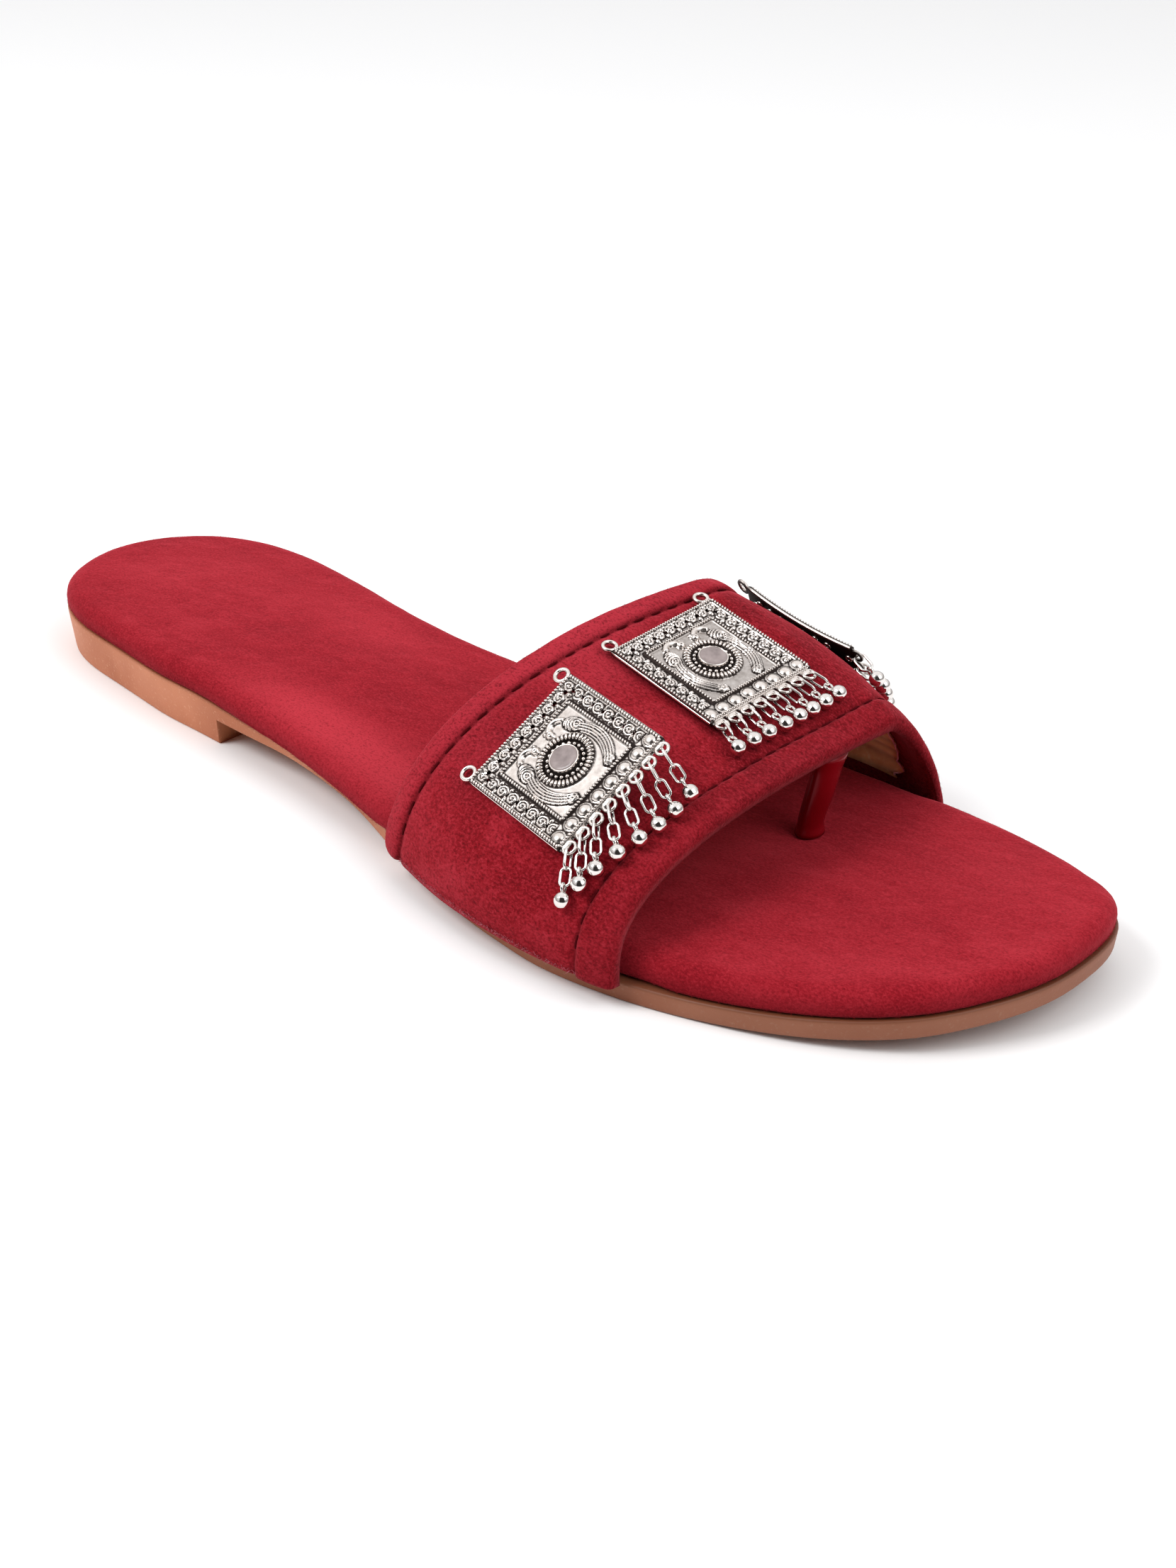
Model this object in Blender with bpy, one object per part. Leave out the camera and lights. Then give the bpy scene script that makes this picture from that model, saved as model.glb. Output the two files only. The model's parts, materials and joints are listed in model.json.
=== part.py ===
"""A right-foot slide sandal with a toe post and three cast plates that carry small hanging bells.

Sizes are in millimetres, and every mesh is scaled to metres as it is made. +X runs from the heel to the toe,
+Y to the inner (medial) side of the foot, +Z up. The origin is on the floor under the middle of the sandal.
"""

import math
from collections import namedtuple

import bmesh
import bpy
import numpy as np
from mathutils import Matrix, Vector
from mathutils.bvhtree import BVHTree

MM = 0.001
GAP = 0.3                    # running gap between two pieces that touch on the real sandal
WELD = 1e-7                  # metres, for points that are made twice

# Driving sizes of the foot plan
LENGTH = 250.0               # heel back to toe tip
ORIGIN = (125.25, -0.5)      # station and place across of the origin, the middle of the sandal's box
HEEL_END = 51.6              # the round of the heel ends here, at its widest
TOE_START = 178.0            # the round of the toe starts here, at the ball's widest
HEEL_POWERS = (3.52, 1.91)
TOE_POWERS = (1.9, 2.5)
SPINE = (33.0, 192.0)        # stations of the line that the heel's and the toe's rings shrink to
FACE_SHARES = (0.0, 0.4, 0.75)   # rings of a broad face, from the spine to the edge

Width = namedtuple("Width", "station half")
WIDTHS = (
    Width(51.6, 28.6), Width(75.0, 27.35), Width(90.0, 27.65), Width(105.0, 29.05),
    Width(120.0, 31.5), Width(135.0, 34.75), Width(150.0, 38.15), Width(165.0, 41.15), Width(178.0, 42.65),
)

Centre = namedtuple("Centre", "station across")
CENTRES = (
    Centre(0.0, 1.25), Centre(30.0, 1.05), Centre(60.0, -2.15), Centre(90.0, -4.65), Centre(120.0, -4.8),
    Centre(150.0, -4.15), Centre(180.0, -3.25), Centre(210.0, -0.4), Centre(237.0, 2.5), Centre(250.0, 6.5),
)

# Heights of the moulded sole
HEEL_HEIGHT = 9.3
BALL_THICKNESS = 3.7
SHANK = (60.0, 165.0)        # the sole's top comes down from the heel's height between these stations
TOE_SPRING = 5.2
SPRING_START = 195.0
BREAST_FOOT = 73.5           # front of the heel block, on the floor
BREAST_TOP = 76.0            # the same face where it meets the arch
HEEL_TAPER = 1.0             # the heel block's walls lean in by this much at the floor

Arch = namedtuple("Arch", "station underside")
ARCH = (
    Arch(76.0, 5.5), Arch(95.0, 5.1), Arch(112.0, 3.6), Arch(130.0, 1.5), Arch(148.0, 0.15), Arch(154.0, 0.0),
)

Inset = namedtuple("Inset", "station depth")
SOLE_INSETS = (
    Inset(0.0, 0.3), Inset(70.0, 0.4), Inset(92.0, 1.8), Inset(115.0, 2.8), Inset(132.0, 1.6),
    Inset(155.0, 0.0), Inset(200.0, -0.3), Inset(250.0, -0.2),
)

# Padded footbed
PAD_HEIGHT = 5.5             # from the sole's top to the crown, with the gap
PAD_CROWN = 0.5
PAD_SIDE = 2.2               # height of the side before it rolls over
PAD_ROLL = 4.2               # how far in the rolled edge reaches
PAD_INSET = 0.4              # the footbed's side lies this far inside the foot plan
STRAP_TUCK = 1.0             # the footbed is narrower by this where the strap passes beside it
TUCK_ZONE = (127.0, 136.0, 195.0, 204.0)

# Strap
StrapEdge = namedtuple(
    "StrapEdge", "lateral_station medial_station bow rise lateral_fullness medial_fullness "
    "peak_across lateral_foot medial_foot")
BACK_EDGE = StrapEdge(134.3, 146.2, 5.2, 36.7, 2.2, 3.2, 23.5, -41.0, 36.9)
FRONT_EDGE = StrapEdge(194.2, 198.8, -1.6, 22.9, 2.8, 1.5, 26.0, -47.2, 42.2)
WALL = 2.4
HEM_STEP = 0.5               # the folded hems stand this much proud of the wall
HEM_SLOPE = 0.6
BACK_HEM = 5.6
FRONT_HEM = 7.0
EDGE_ROUND = 0.9
BAND_WIDTH = 58.0            # back edge to front edge, for turning hem widths into fractions
CORNER_CUT = 3.6             # the back corners of the strap's feet are rounded off by this much
ARCH_LENGTH = 118.0
STRAP_SECTIONS = 24

Puff = namedtuple("Puff", "station out")
PUFFS = (                    # how far the band stands out between its edges, by its share across the foot
    Puff(0.0, 3.8), Puff(0.2, 2.6), Puff(0.45, 0.3), Puff(0.6, 0.3), Puff(0.78, 4.0), Puff(0.9, 4.0), Puff(1.0, 2.4),
)

# Toe post
PostSection = namedtuple("PostSection", "height_share station across half_along half_across")
POST_SECTIONS = (
    PostSection(0.0, 191.4, 9.5, 2.5, 3.2),
    PostSection(0.12, 191.4, 9.6, 2.1, 2.9),
    PostSection(0.45, 191.8, 11.0, 2.2, 3.3),
    PostSection(0.8, 192.2, 12.4, 2.2, 3.5),
    PostSection(1.0, 192.4, 13.0, 2.5, 3.9),
)
POST_SIDES = 12
POST_TOP_GAP = 0.5

# Cast plates, in their own axes: toe, across and out
PLATE = 25.8
SHEET = 0.8
FRAME_BAND = 4.3
FRAME_STEP = 0.35
TOE_TRIM = 0.8               # the sheet stops this far short of the square on its toe side
BEZEL = (2.75, 1.1)          # radius and height of the flat stone in the middle
COLLAR = (4.4, 0.35)
EYELETS = 8
EYELET_PITCH = PLATE / EYELETS
EYELET_RADIUS = 1.45
EYELET_HOLE = 0.85
EYELET_THICKNESS = 0.6
EYELET_REACH = 0.3           # from the square's toe side to the holes' centres
LOOP_RADIUS = 1.65
LOOP_HOLE = 0.9
LOOP_REACH = 1.5             # from the square's heel side to the corner loops' centres
LOOP_INSET = 1.1

PlateSeat = namedtuple("PlateSeat", "name station across height side_way toe_way curl links swings")
PLATE_SEATS = (
    PlateSeat("lateral", 168.4, -30.4, 30.3, (0.19, 0.79, 0.58), (0.98, -0.159, -0.098), 0.0, 2,
              (55, 53, 49, 36, 29, 25, 22, 18)),
    PlateSeat("middle", 168.5, 8.15, 34.96, (0.10, 0.98, 0.11), (0.96, -0.05, -0.222), 0.0, 1,
              (20, 14, 9, 0, -6, -9, -12, -16)),
    PlateSeat("medial", 166.7, 41.0, 25.8, (-0.20, 0.50, -0.84), (0.977, 0.004, -0.194), 0.9, 1,
              (-4, -5, -6, -7, -8, -9, -10, -13)),
)

# Bell drops
WIRE = 0.27
LINK_LENGTH = 3.9
LINK_HALF_WIDTH = 1.1
SECOND_LINK = 3.2
LOOP_LENGTH = 1.5
LOOP_HALF_WIDTH = 0.75
LINK_BITE = 0.1              # two links that hang in each other are joined by this overlap
LINK_ASIDE = 0.05            # a link hangs this far off its neighbour's middle
LINK_LEAN = 9.0              # degrees that it is turned from square to its neighbour
BELL_RADIUS = 1.5
BELL_SINK = 0.16             # the bell's loop goes this far into the ball
BALL_TURN = 17.0
REST_GAP = 0.3               # drop to strap, at rest
SIDE_GAP = 0.2               # drop to drop, at rest
RING_DIP = (-16.0, 20.0)     # degrees that a ring may hang below its plate
BALL_DIP = (-16.0, 58.0)
DIP_STEP = 0.5
SWING_STEPS = (0, 1, -1, 2, -2, 3, -3, 4, -4, 6, -6, 8, -8)
PLATE_GAP = 0.5              # plate's corners to strap; its edges come closer, over the strap's crown
SEAT_SEARCH = 6.0            # a plate is let down onto the strap from this far above its place
SEAT_STEPS = 12
RING_FREE = 24.0             # degrees that a ring may rise above its plate before it binds


def interpolate(rows, column, station):
    """Return a smooth value of a table's column at a station, without overshooting the rows."""
    xs = [row.station for row in rows]
    ys = [getattr(row, column) for row in rows]
    steps = [(ys[i + 1] - ys[i]) / (xs[i + 1] - xs[i]) for i in range(len(xs) - 1)]
    slopes = [0.0]
    for before, after in zip(steps, steps[1:]):
        slopes.append(2 * before * after / (before + after) if before * after > 0 else 0.0)
    slopes.append(0.0)
    station = min(max(station, xs[0]), xs[-1])
    i = max(k for k in range(len(xs) - 1) if xs[k] <= station)
    span = xs[i + 1] - xs[i]
    t = (station - xs[i]) / span
    return (ys[i] * (1 + 2 * t) * (1 - t) ** 2 + slopes[i] * span * t * (1 - t) ** 2
            + ys[i + 1] * t * t * (3 - 2 * t) + slopes[i + 1] * span * t * t * (t - 1))


def ease(value, low, high):
    """Return 0 below low, 1 above high and a smooth step between them."""
    t = min(max((value - low) / (high - low), 0.0), 1.0)
    return t * t * (3 - 2 * t)


def half_width(station):
    """Return half the foot plan's width at a station."""
    if station < HEEL_END:
        outer, inner = HEEL_POWERS
        share = 1 - station / HEEL_END
        return WIDTHS[0].half * max(1 - share ** outer, 0.0) ** (1 / inner)
    if station > TOE_START:
        outer, inner = TOE_POWERS
        share = (station - TOE_START) / (LENGTH - TOE_START)
        return WIDTHS[-1].half * max(1 - share ** outer, 0.0) ** (1 / inner)
    return interpolate(WIDTHS, "half", station)


def centre_line(station):
    """Return the middle of the foot plan at a station."""
    return interpolate(CENTRES, "across", station)


def toe_lift(station):
    """Return how far the toe spring lifts the sole at a station."""
    share = max(station - SPRING_START, 0.0) / (LENGTH - SPRING_START)
    return TOE_SPRING * share * share


def sole_top(station):
    """Return the height of the outsole's top at a station."""
    drop = (HEEL_HEIGHT - BALL_THICKNESS) * ease(station, *SHANK)
    return HEEL_HEIGHT - drop + toe_lift(station)


def sole_underside(station):
    """Return the height of the outsole's underside at a station."""
    if station <= BREAST_FOOT:
        return 0.0
    return interpolate(ARCH, "underside", station) + toe_lift(station)


def plan_stations():
    """Return the stations of the foot plan, close together at the two round ends."""
    ends = 8
    heel_reach, toe_reach = 40.0, 50.0
    heel = [heel_reach * (1 - math.cos(math.pi / 2 * i / ends)) for i in range(ends + 1)]
    toe = [LENGTH - toe_reach * (1 - math.cos(math.pi / 2 * i / ends)) for i in range(ends, -1, -1)]
    middle = [51.0, 62.0, BREAST_FOOT, BREAST_TOP]
    middle += [86.0 + 11.5 * i for i in range(10)]
    return sorted(heel + middle + toe)


def plan_ring(inset):
    """Return the foot plan moved in by an inset, as (station, across) pairs around the loop.

    The inset is a length or a function of the station. The loop runs from the heel's back along the lateral
    side to the toe's tip and back along the medial side.
    """
    stations = plan_stations()
    ways = [(station, -1.0) for station in stations] + [(station, 1.0) for station in stations[-2:0:-1]]
    ring = []
    for station, side in ways:
        edge = np.array([station, centre_line(station) + side * half_width(station)])
        hub_station = min(max(station, SPINE[0]), SPINE[1])
        hub = np.array([hub_station, centre_line(hub_station)])
        depth = inset(station) if callable(inset) else inset
        reach = np.linalg.norm(edge - hub)
        ring.append(hub + (edge - hub) * (1 - depth / reach))
    return ring


def plan_share(share, inset):
    """Return the ring that lies at a share of the way from the spine to the inset foot plan."""
    ring = []
    for station, across in plan_ring(inset):
        hub_station = min(max(station, SPINE[0]), SPINE[1])
        hub = np.array([hub_station, centre_line(hub_station)])
        ring.append(hub + (np.array([station, across]) - hub) * share)
    return ring


def place(station, across, height):
    """Return a point of the sandal, in metres, from its sizes in millimetres."""
    return Vector(((station - ORIGIN[0]) * MM, (across - ORIGIN[1]) * MM, height * MM))


def material(name, colour, roughness, metallic=0.0):
    """Return a new material with a Principled BSDF of one colour."""
    made = bpy.data.materials.new(name)
    made.use_nodes = True
    shader = made.node_tree.nodes["Principled BSDF"]
    shader.inputs["Base Color"].default_value = (*colour, 1.0)
    shader.inputs["Roughness"].default_value = roughness
    shader.inputs["Metallic"].default_value = metallic
    return made


def mesh_from(name, points, faces):
    """Return a closed mesh from points in metres, with doubled points welded."""
    mesh = bpy.data.meshes.new(name)
    mesh.from_pydata([tuple(point) for point in points], [], faces)
    work = bmesh.new()
    work.from_mesh(mesh)
    bmesh.ops.remove_doubles(work, verts=work.verts, dist=WELD)
    bmesh.ops.recalc_face_normals(work, faces=work.faces)
    work.to_mesh(mesh)
    work.free()
    mesh.shade_smooth()
    return mesh


def add_object(name, mesh, finish):
    """Add a mesh to the scene as one named object with its own material."""
    mesh.materials.clear()
    mesh.materials.append(finish)
    made = bpy.data.objects.new(name, mesh)
    bpy.context.scene.collection.objects.link(made)
    return made


def joined(name, meshes, cut=()):
    """Return the union of some closed meshes, less the meshes to cut away."""
    scene = bpy.context.scene
    base = bpy.data.objects.new(name, meshes[0])
    scene.collection.objects.link(base)
    helpers = []
    for operation, shapes in (("UNION", meshes[1:]), ("DIFFERENCE", cut)):
        for shape in shapes:
            helper = bpy.data.objects.new(name + "_tool", shape)
            helper.hide_render = True
            helper.display_type = "WIRE"
            scene.collection.objects.link(helper)
            helpers.append(helper)
            modifier = base.modifiers.new(operation.title(), "BOOLEAN")
            modifier.operation = operation
            modifier.solver = "EXACT"
            modifier.object = helper
    graph = bpy.context.evaluated_depsgraph_get()
    result = bpy.data.meshes.new_from_object(base.evaluated_get(graph))
    for helper in helpers + [base]:
        bpy.data.objects.remove(helper)
    result.name = name
    result.shade_smooth()
    return result


def skinned(name, rings):
    """Return a closed mesh through rings of equal length, the first and last of which shrink to a line."""
    count = len(rings[0])
    points = [point for ring in rings for point in ring]
    faces = []
    for level in range(len(rings) - 1):
        for i in range(count):
            j = (i + 1) % count
            low, high = level * count, (level + 1) * count
            faces.append((low + i, low + j, high + j, high + i))
    return mesh_from(name, points, faces)


def outsole():
    """Return the moulded sole with its heel block, arch and toe spring."""
    def edge(station):
        return interpolate(SOLE_INSETS, "depth", station)

    def foot_edge(station):
        taper = HEEL_TAPER if station <= BREAST_FOOT else 0.25
        return edge(station) + taper

    rings = []
    for share in FACE_SHARES:
        rings.append([place(x, y, sole_underside(x)) for x, y in plan_share(share, foot_edge)])
    rings.append([place(x, y, sole_underside(x)) for x, y in plan_ring(foot_edge)])
    rings.append([place(x, y, sole_top(x) - 0.5) for x, y in plan_ring(edge)])
    rings.append([place(x, y, sole_top(x)) for x, y in plan_ring(lambda x: edge(x) + 0.35)])
    for share in reversed(FACE_SHARES):
        rings.append([place(x, y, sole_top(x)) for x, y in plan_share(share, edge)])
    return skinned("outsole", rings)


def pad_edge(station):
    """Return how far the footbed's side is set in from the foot plan at a station."""
    start, full, fade, end = TUCK_ZONE
    return PAD_INSET + STRAP_TUCK * ease(station, start, full) * (1 - ease(station, fade, end))


def footbed():
    """Return the padded footbed, rolled over at its top edge."""
    def inset_ring(extra, height):
        return [place(x, y, sole_top(x) + height) for x, y in plan_ring(lambda s: pad_edge(s) + extra)]

    rings = []
    for share in FACE_SHARES:
        rings.append([place(x, y, sole_top(x) + GAP) for x, y in plan_share(share, lambda s: pad_edge(s) + 0.8)])
    rings.append(inset_ring(0.8, GAP))
    rings.append(inset_ring(0.0, GAP + 0.9))
    side_rise = PAD_HEIGHT - PAD_CROWN - PAD_SIDE
    for angle in (0.0, 30.0, 60.0, 90.0):
        inset = PAD_ROLL * (1 - math.cos(math.radians(angle)))
        rings.append(inset_ring(inset, PAD_SIDE + side_rise * math.sin(math.radians(angle))))
    for share in (0.5, 0.0):
        height = PAD_HEIGHT - PAD_CROWN * share * share
        ring = plan_share(share, lambda s: pad_edge(s) + PAD_ROLL)
        rings.append([place(x, y, sole_top(x) + height) for x, y in ring])
    return skinned("footbed", rings)


def edge_curve(edge, samples=240):
    """Return an edge of the strap as points at even steps along it, from the lateral to the medial foot."""
    raw = []
    for i in range(samples + 1):
        turn = math.pi * i / samples
        lateral = turn <= math.pi / 2
        fullness = edge.lateral_fullness if lateral else edge.medial_fullness
        foot = edge.lateral_foot if lateral else edge.medial_foot
        across = edge.peak_across + (foot - edge.peak_across) * abs(math.cos(turn)) ** (2 / fullness)
        rise = abs(math.sin(turn)) ** (2 / fullness)
        share = (across - edge.lateral_foot) / (edge.medial_foot - edge.lateral_foot)
        station = edge.lateral_station + (edge.medial_station - edge.lateral_station) * share + edge.bow * rise
        raw.append((station, across, sole_top(station) + GAP + edge.rise * rise))
    raw = np.array(raw)
    run = np.r_[0.0, np.cumsum(np.linalg.norm(np.diff(raw, axis=0), axis=1))]
    even = np.linspace(0.0, run[-1], samples + 1)
    return np.stack([np.interp(even, run, raw[:, k]) for k in range(3)], axis=1)


class StrapForm:
    """The strap's outer surface, over u across the foot and v from the back edge to the front edge."""

    def __init__(self):
        self.back = edge_curve(BACK_EDGE)
        self.front = edge_curve(FRONT_EDGE)

    def ruled(self, u, v):
        """Return the straight-line surface between the two edges."""
        reach = (len(self.back) - 1) * min(max(u, 0.0), 1.0)
        i = min(int(reach), len(self.back) - 2)
        t = reach - i
        back = self.back[i] * (1 - t) + self.back[i + 1] * t
        front = self.front[i] * (1 - t) + self.front[i + 1] * t
        return back * (1 - v) + front * v

    def outward(self, u, v):
        """Return the straight-line surface's outward direction."""
        step = 0.012
        along = self.ruled(min(u + step, 1.0), v) - self.ruled(max(u - step, 0.0), v)
        toeward = self.ruled(u, 1.0) - self.ruled(u, 0.0)
        way = np.cross(toeward, along)
        return way / np.linalg.norm(way)

    def point(self, u, v, offset=0.0):
        """Return a point of the surface, moved out along its normal by an offset."""
        corner = max(CORNER_CUT - v * BAND_WIDTH, 0.0)
        cut = (CORNER_CUT - math.sqrt(CORNER_CUT ** 2 - corner ** 2)) / ARCH_LENGTH
        inner_u = cut + (1 - 2 * cut) * u
        way = self.outward(inner_u, v)
        belly = interpolate(PUFFS, "out", inner_u) * 4 * v * (1 - v)
        made = self.ruled(inner_u, v) + way * (belly + offset)
        floor = sole_top(made[0]) + GAP + cut * ARCH_LENGTH
        if u <= 0.0 or u >= 1.0 or made[2] < floor:
            made[2] = floor
        return made


def strap_profile():
    """Return the wall's closed outline as (v, offset) pairs: outer side forwards, then inner side back."""
    back_hem = BACK_HEM / BAND_WIDTH
    front_hem = 1 - FRONT_HEM / BAND_WIDTH
    slope = HEM_SLOPE / BAND_WIDTH
    rounding = EDGE_ROUND / BAND_WIDTH
    steps = (
        (rounding, HEM_STEP), (back_hem, HEM_STEP), (back_hem + slope, 0.0), (0.3, 0.0), (0.5, 0.0),
        (0.7, 0.0), (front_hem - slope, 0.0), (front_hem, HEM_STEP), (1 - rounding, HEM_STEP),
    )
    outer = [(0.0, -0.35)] + list(steps) + [(1.0, -0.35)]
    inner = [(1.0, -WALL + 0.3)] + [(v, -WALL) for v, _ in reversed(steps)] + [(0.0, -WALL + 0.3)]
    return outer, inner


def strap(form):
    """Return the strap as one hollow wall, swept across the foot and open at toe, heel and underneath."""
    outer, inner = strap_profile()
    profile = outer + inner
    count = len(profile)
    points = []
    for i in range(STRAP_SECTIONS + 1):
        u = i / STRAP_SECTIONS
        points += [place(*form.point(u, v, offset)) for v, offset in profile]
    faces = []
    for i in range(STRAP_SECTIONS):
        for k in range(count):
            near, far = i * count, (i + 1) * count
            nxt = (k + 1) % count
            faces.append((near + k, near + nxt, far + nxt, far + k))
    for start in (0, STRAP_SECTIONS * count):
        for k in range(len(outer) - 1):
            faces.append((start + k, start + k + 1, start + count - 2 - k, start + count - 1 - k))
    return mesh_from("strap", points, faces)


def surface_height(tree, station, across, top_down):
    """Return the height where a vertical line meets a solid, from above or from below."""
    start_height = 80.0 if top_down else 12.0
    start = place(station, across, start_height)
    way = Vector((0.0, 0.0, -1.0 if top_down else 1.0))
    hit = tree.ray_cast(start, way)[0]
    return hit.z / MM


def toe_post(strap_tree, pad_tree):
    """Return the post, from the footbed's top to the strap's underside."""
    first, last = POST_SECTIONS[0], POST_SECTIONS[-1]

    def level(section, turn):
        station = section.station + section.half_along * math.cos(turn)
        across = section.across + section.half_across * math.sin(turn)
        return station, across

    rings = []
    for section in POST_SECTIONS:
        ring = []
        for i in range(POST_SIDES):
            turn = 2 * math.pi * i / POST_SIDES
            low = surface_height(pad_tree, *level(first, turn), True) + GAP
            high = surface_height(strap_tree, *level(last, turn), False) - POST_TOP_GAP
            station, across = level(section, turn)
            ring.append(place(station, across, low + (high - low) * section.height_share))
        rings.append(ring)
    faces = []
    for row in range(len(rings) - 1):
        for i in range(POST_SIDES):
            j = (i + 1) % POST_SIDES
            low, high = row * POST_SIDES, (row + 1) * POST_SIDES
            faces.append((low + i, low + j, high + j, high + i))
    points = [point for ring in rings for point in ring]
    for row in (0, len(rings) - 1):
        middle = sum(rings[row], Vector()) / POST_SIDES
        points.append(middle)
        for i in range(POST_SIDES):
            j = (i + 1) % POST_SIDES
            faces.append((row * POST_SIDES + i, row * POST_SIDES + j, len(points) - 1))
    return mesh_from("toe_post", points, faces)


def block(x_range, y_range, z_range):
    """Return a closed box mesh from its ranges in millimetres."""
    points = [Vector((x, y, z)) * MM for z in z_range for y in y_range for x in x_range]
    faces = [(0, 2, 3, 1), (4, 5, 7, 6), (0, 1, 5, 4), (2, 6, 7, 3), (0, 4, 6, 2), (1, 3, 7, 5)]
    return mesh_from("block", points, faces)


def disc(centre, radius, z_range, sides=12):
    """Return a closed round plate mesh about a centre in the plate's own axes."""
    points = []
    for z in z_range:
        for i in range(sides):
            turn = 2 * math.pi * (i + 0.5) / sides
            x = centre[0] + radius * math.cos(turn)
            y = centre[1] + radius * math.sin(turn)
            points.append(Vector((x, y, z)) * MM)
    faces = [tuple(range(sides))[::-1], tuple(range(sides, 2 * sides))]
    for i in range(sides):
        j = (i + 1) % sides
        faces.append((i, j, sides + j, sides + i))
    return mesh_from("disc", points, faces)


def eyelet_centres():
    """Return the centres of the plate's eyelets, from its lateral to its medial side."""
    toe = PLATE / 2 + EYELET_REACH
    return [(toe, (i - (EYELETS - 1) / 2) * EYELET_PITCH) for i in range(EYELETS)]


def plate():
    """Return one cast plate with its raised frame, stone, corner loops and eyelets, in its own axes."""
    half = PLATE / 2
    inner = half - FRAME_BAND
    low, top = -SHEET / 2, SHEET / 2
    toe = half - TOE_TRIM
    solids = [block((-half, toe), (-half, half), (low, top + FRAME_STEP))]
    solids.append(disc((0.0, 0.0), COLLAR[0], (0.0, top + COLLAR[1]), 12))
    solids.append(disc((0.0, 0.0), BEZEL[0], (0.0, top + BEZEL[1]), 12))
    holes = [block((-inner, inner), (-inner, inner), (top, top + 3.0))]
    lobes = [(centre, EYELET_RADIUS, EYELET_HOLE, EYELET_THICKNESS / 2, 8) for centre in eyelet_centres()]
    for side in (-1, 1):
        centre = (-half - LOOP_REACH, side * (half - LOOP_INSET))
        lobes.append((centre, LOOP_RADIUS, LOOP_HOLE, SHEET / 2 - 0.05, 10))
    base = joined("plate_base", solids[:1], holes)
    rings = []
    cuts = []
    for centre, radius, hole, thickness, sides in lobes:
        rings.append(disc(centre, radius, (-thickness, thickness), sides))
        cuts.append(disc(centre, hole, (-2.0, 2.0), sides - 2))
    return joined("plate", [base] + solids[1:] + rings, cuts)


def plate_axes(seat):
    """Return a plate's across, toe and out directions as unit vectors."""
    toe = Vector(seat.toe_way).normalized()
    out = toe.cross(Vector(seat.side_way)).normalized()
    return out.cross(toe), toe, out


def plate_pose(seat, mesh, strap_tree):
    """Return the matrix that carries a plate from its own axes to where it lies on the strap."""
    side, toe, out = plate_axes(seat)
    turn = Matrix((toe, side, out)).transposed().to_4x4()
    high = place(seat.station, seat.across, seat.height) + out * SEAT_SEARCH * MM
    pose = Matrix.Translation(high) @ turn
    for _ in range(SEAT_STEPS):
        gaps = [strap_tree.find_nearest(pose @ vertex.co)[3] for vertex in mesh.vertices]
        spare = min(gaps) - PLATE_GAP * MM
        pose = Matrix.Translation(-out * spare) @ pose
    return pose


def curled(mesh, curl):
    """Return a copy of a plate's mesh, with its heel and toe sides bent up by a curl in millimetres."""
    made = mesh.copy()
    for vertex in made.vertices:
        share = vertex.co.x / (PLATE / 2 * MM)
        vertex.co.z += curl * MM * min(share, 1.0) ** 2
    return made


def link_path(length, half, bend_points):
    """Return a link's middle line as (along, aside, out along, out aside) rows, from one side of its top."""
    straight = length - 2 * half
    rows = []
    for sign, base in ((-1, half), (1, length - half)):
        for i in range(bend_points):
            if sign > 0 and i in (0, bend_points - 1) and straight < 0.1:
                continue
            turn = -sign * math.pi * (i / (bend_points - 1) - 0.5)
            out_along, out_aside = sign * math.cos(turn), math.sin(turn)
            rows.append((base + half * out_along, half * out_aside, out_along, out_aside))
    return rows


def wire_loop(link):
    """Return a closed long link of wire, in metres, from its top point along a direction."""
    origin, way, width_way = link.top, link.way, link.width_way
    normal = way.cross(width_way).normalized()
    path = link_path(link.length, link.half, link.bend_points)
    points = []
    for along, aside, out_along, out_aside in path:
        middle = origin + (way * along + width_way * aside) * MM
        out = way * out_along + width_way * out_aside
        for quarter in range(4):
            angle = math.pi / 2 * quarter
            points.append(middle + (out * math.cos(angle) + normal * math.sin(angle)) * WIRE * MM)
    count = len(path)
    faces = []
    for i in range(count):
        j = (i + 1) % count
        for quarter in range(4):
            following = (quarter + 1) % 4
            faces.append((4 * i + quarter, 4 * i + following, 4 * j + following, 4 * j + quarter))
    return mesh_from("link", points, faces)


def ball(centre):
    """Return a bell's ball mesh about a centre in metres."""
    work = bmesh.new()
    turned = Matrix.Translation(centre) @ Matrix.Rotation(math.radians(BALL_TURN), 4, Vector((0.3, 0.5, 0.8)))
    bmesh.ops.create_icosphere(work, subdivisions=2, radius=BELL_RADIUS * MM, matrix=turned)
    mesh = bpy.data.meshes.new("ball")
    work.to_mesh(mesh)
    work.free()
    return mesh


Drop = namedtuple("Drop", "name hole axis free_angle mesh spheres")
Link = namedtuple("Link", "top way width_way length half bend_points")


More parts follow.
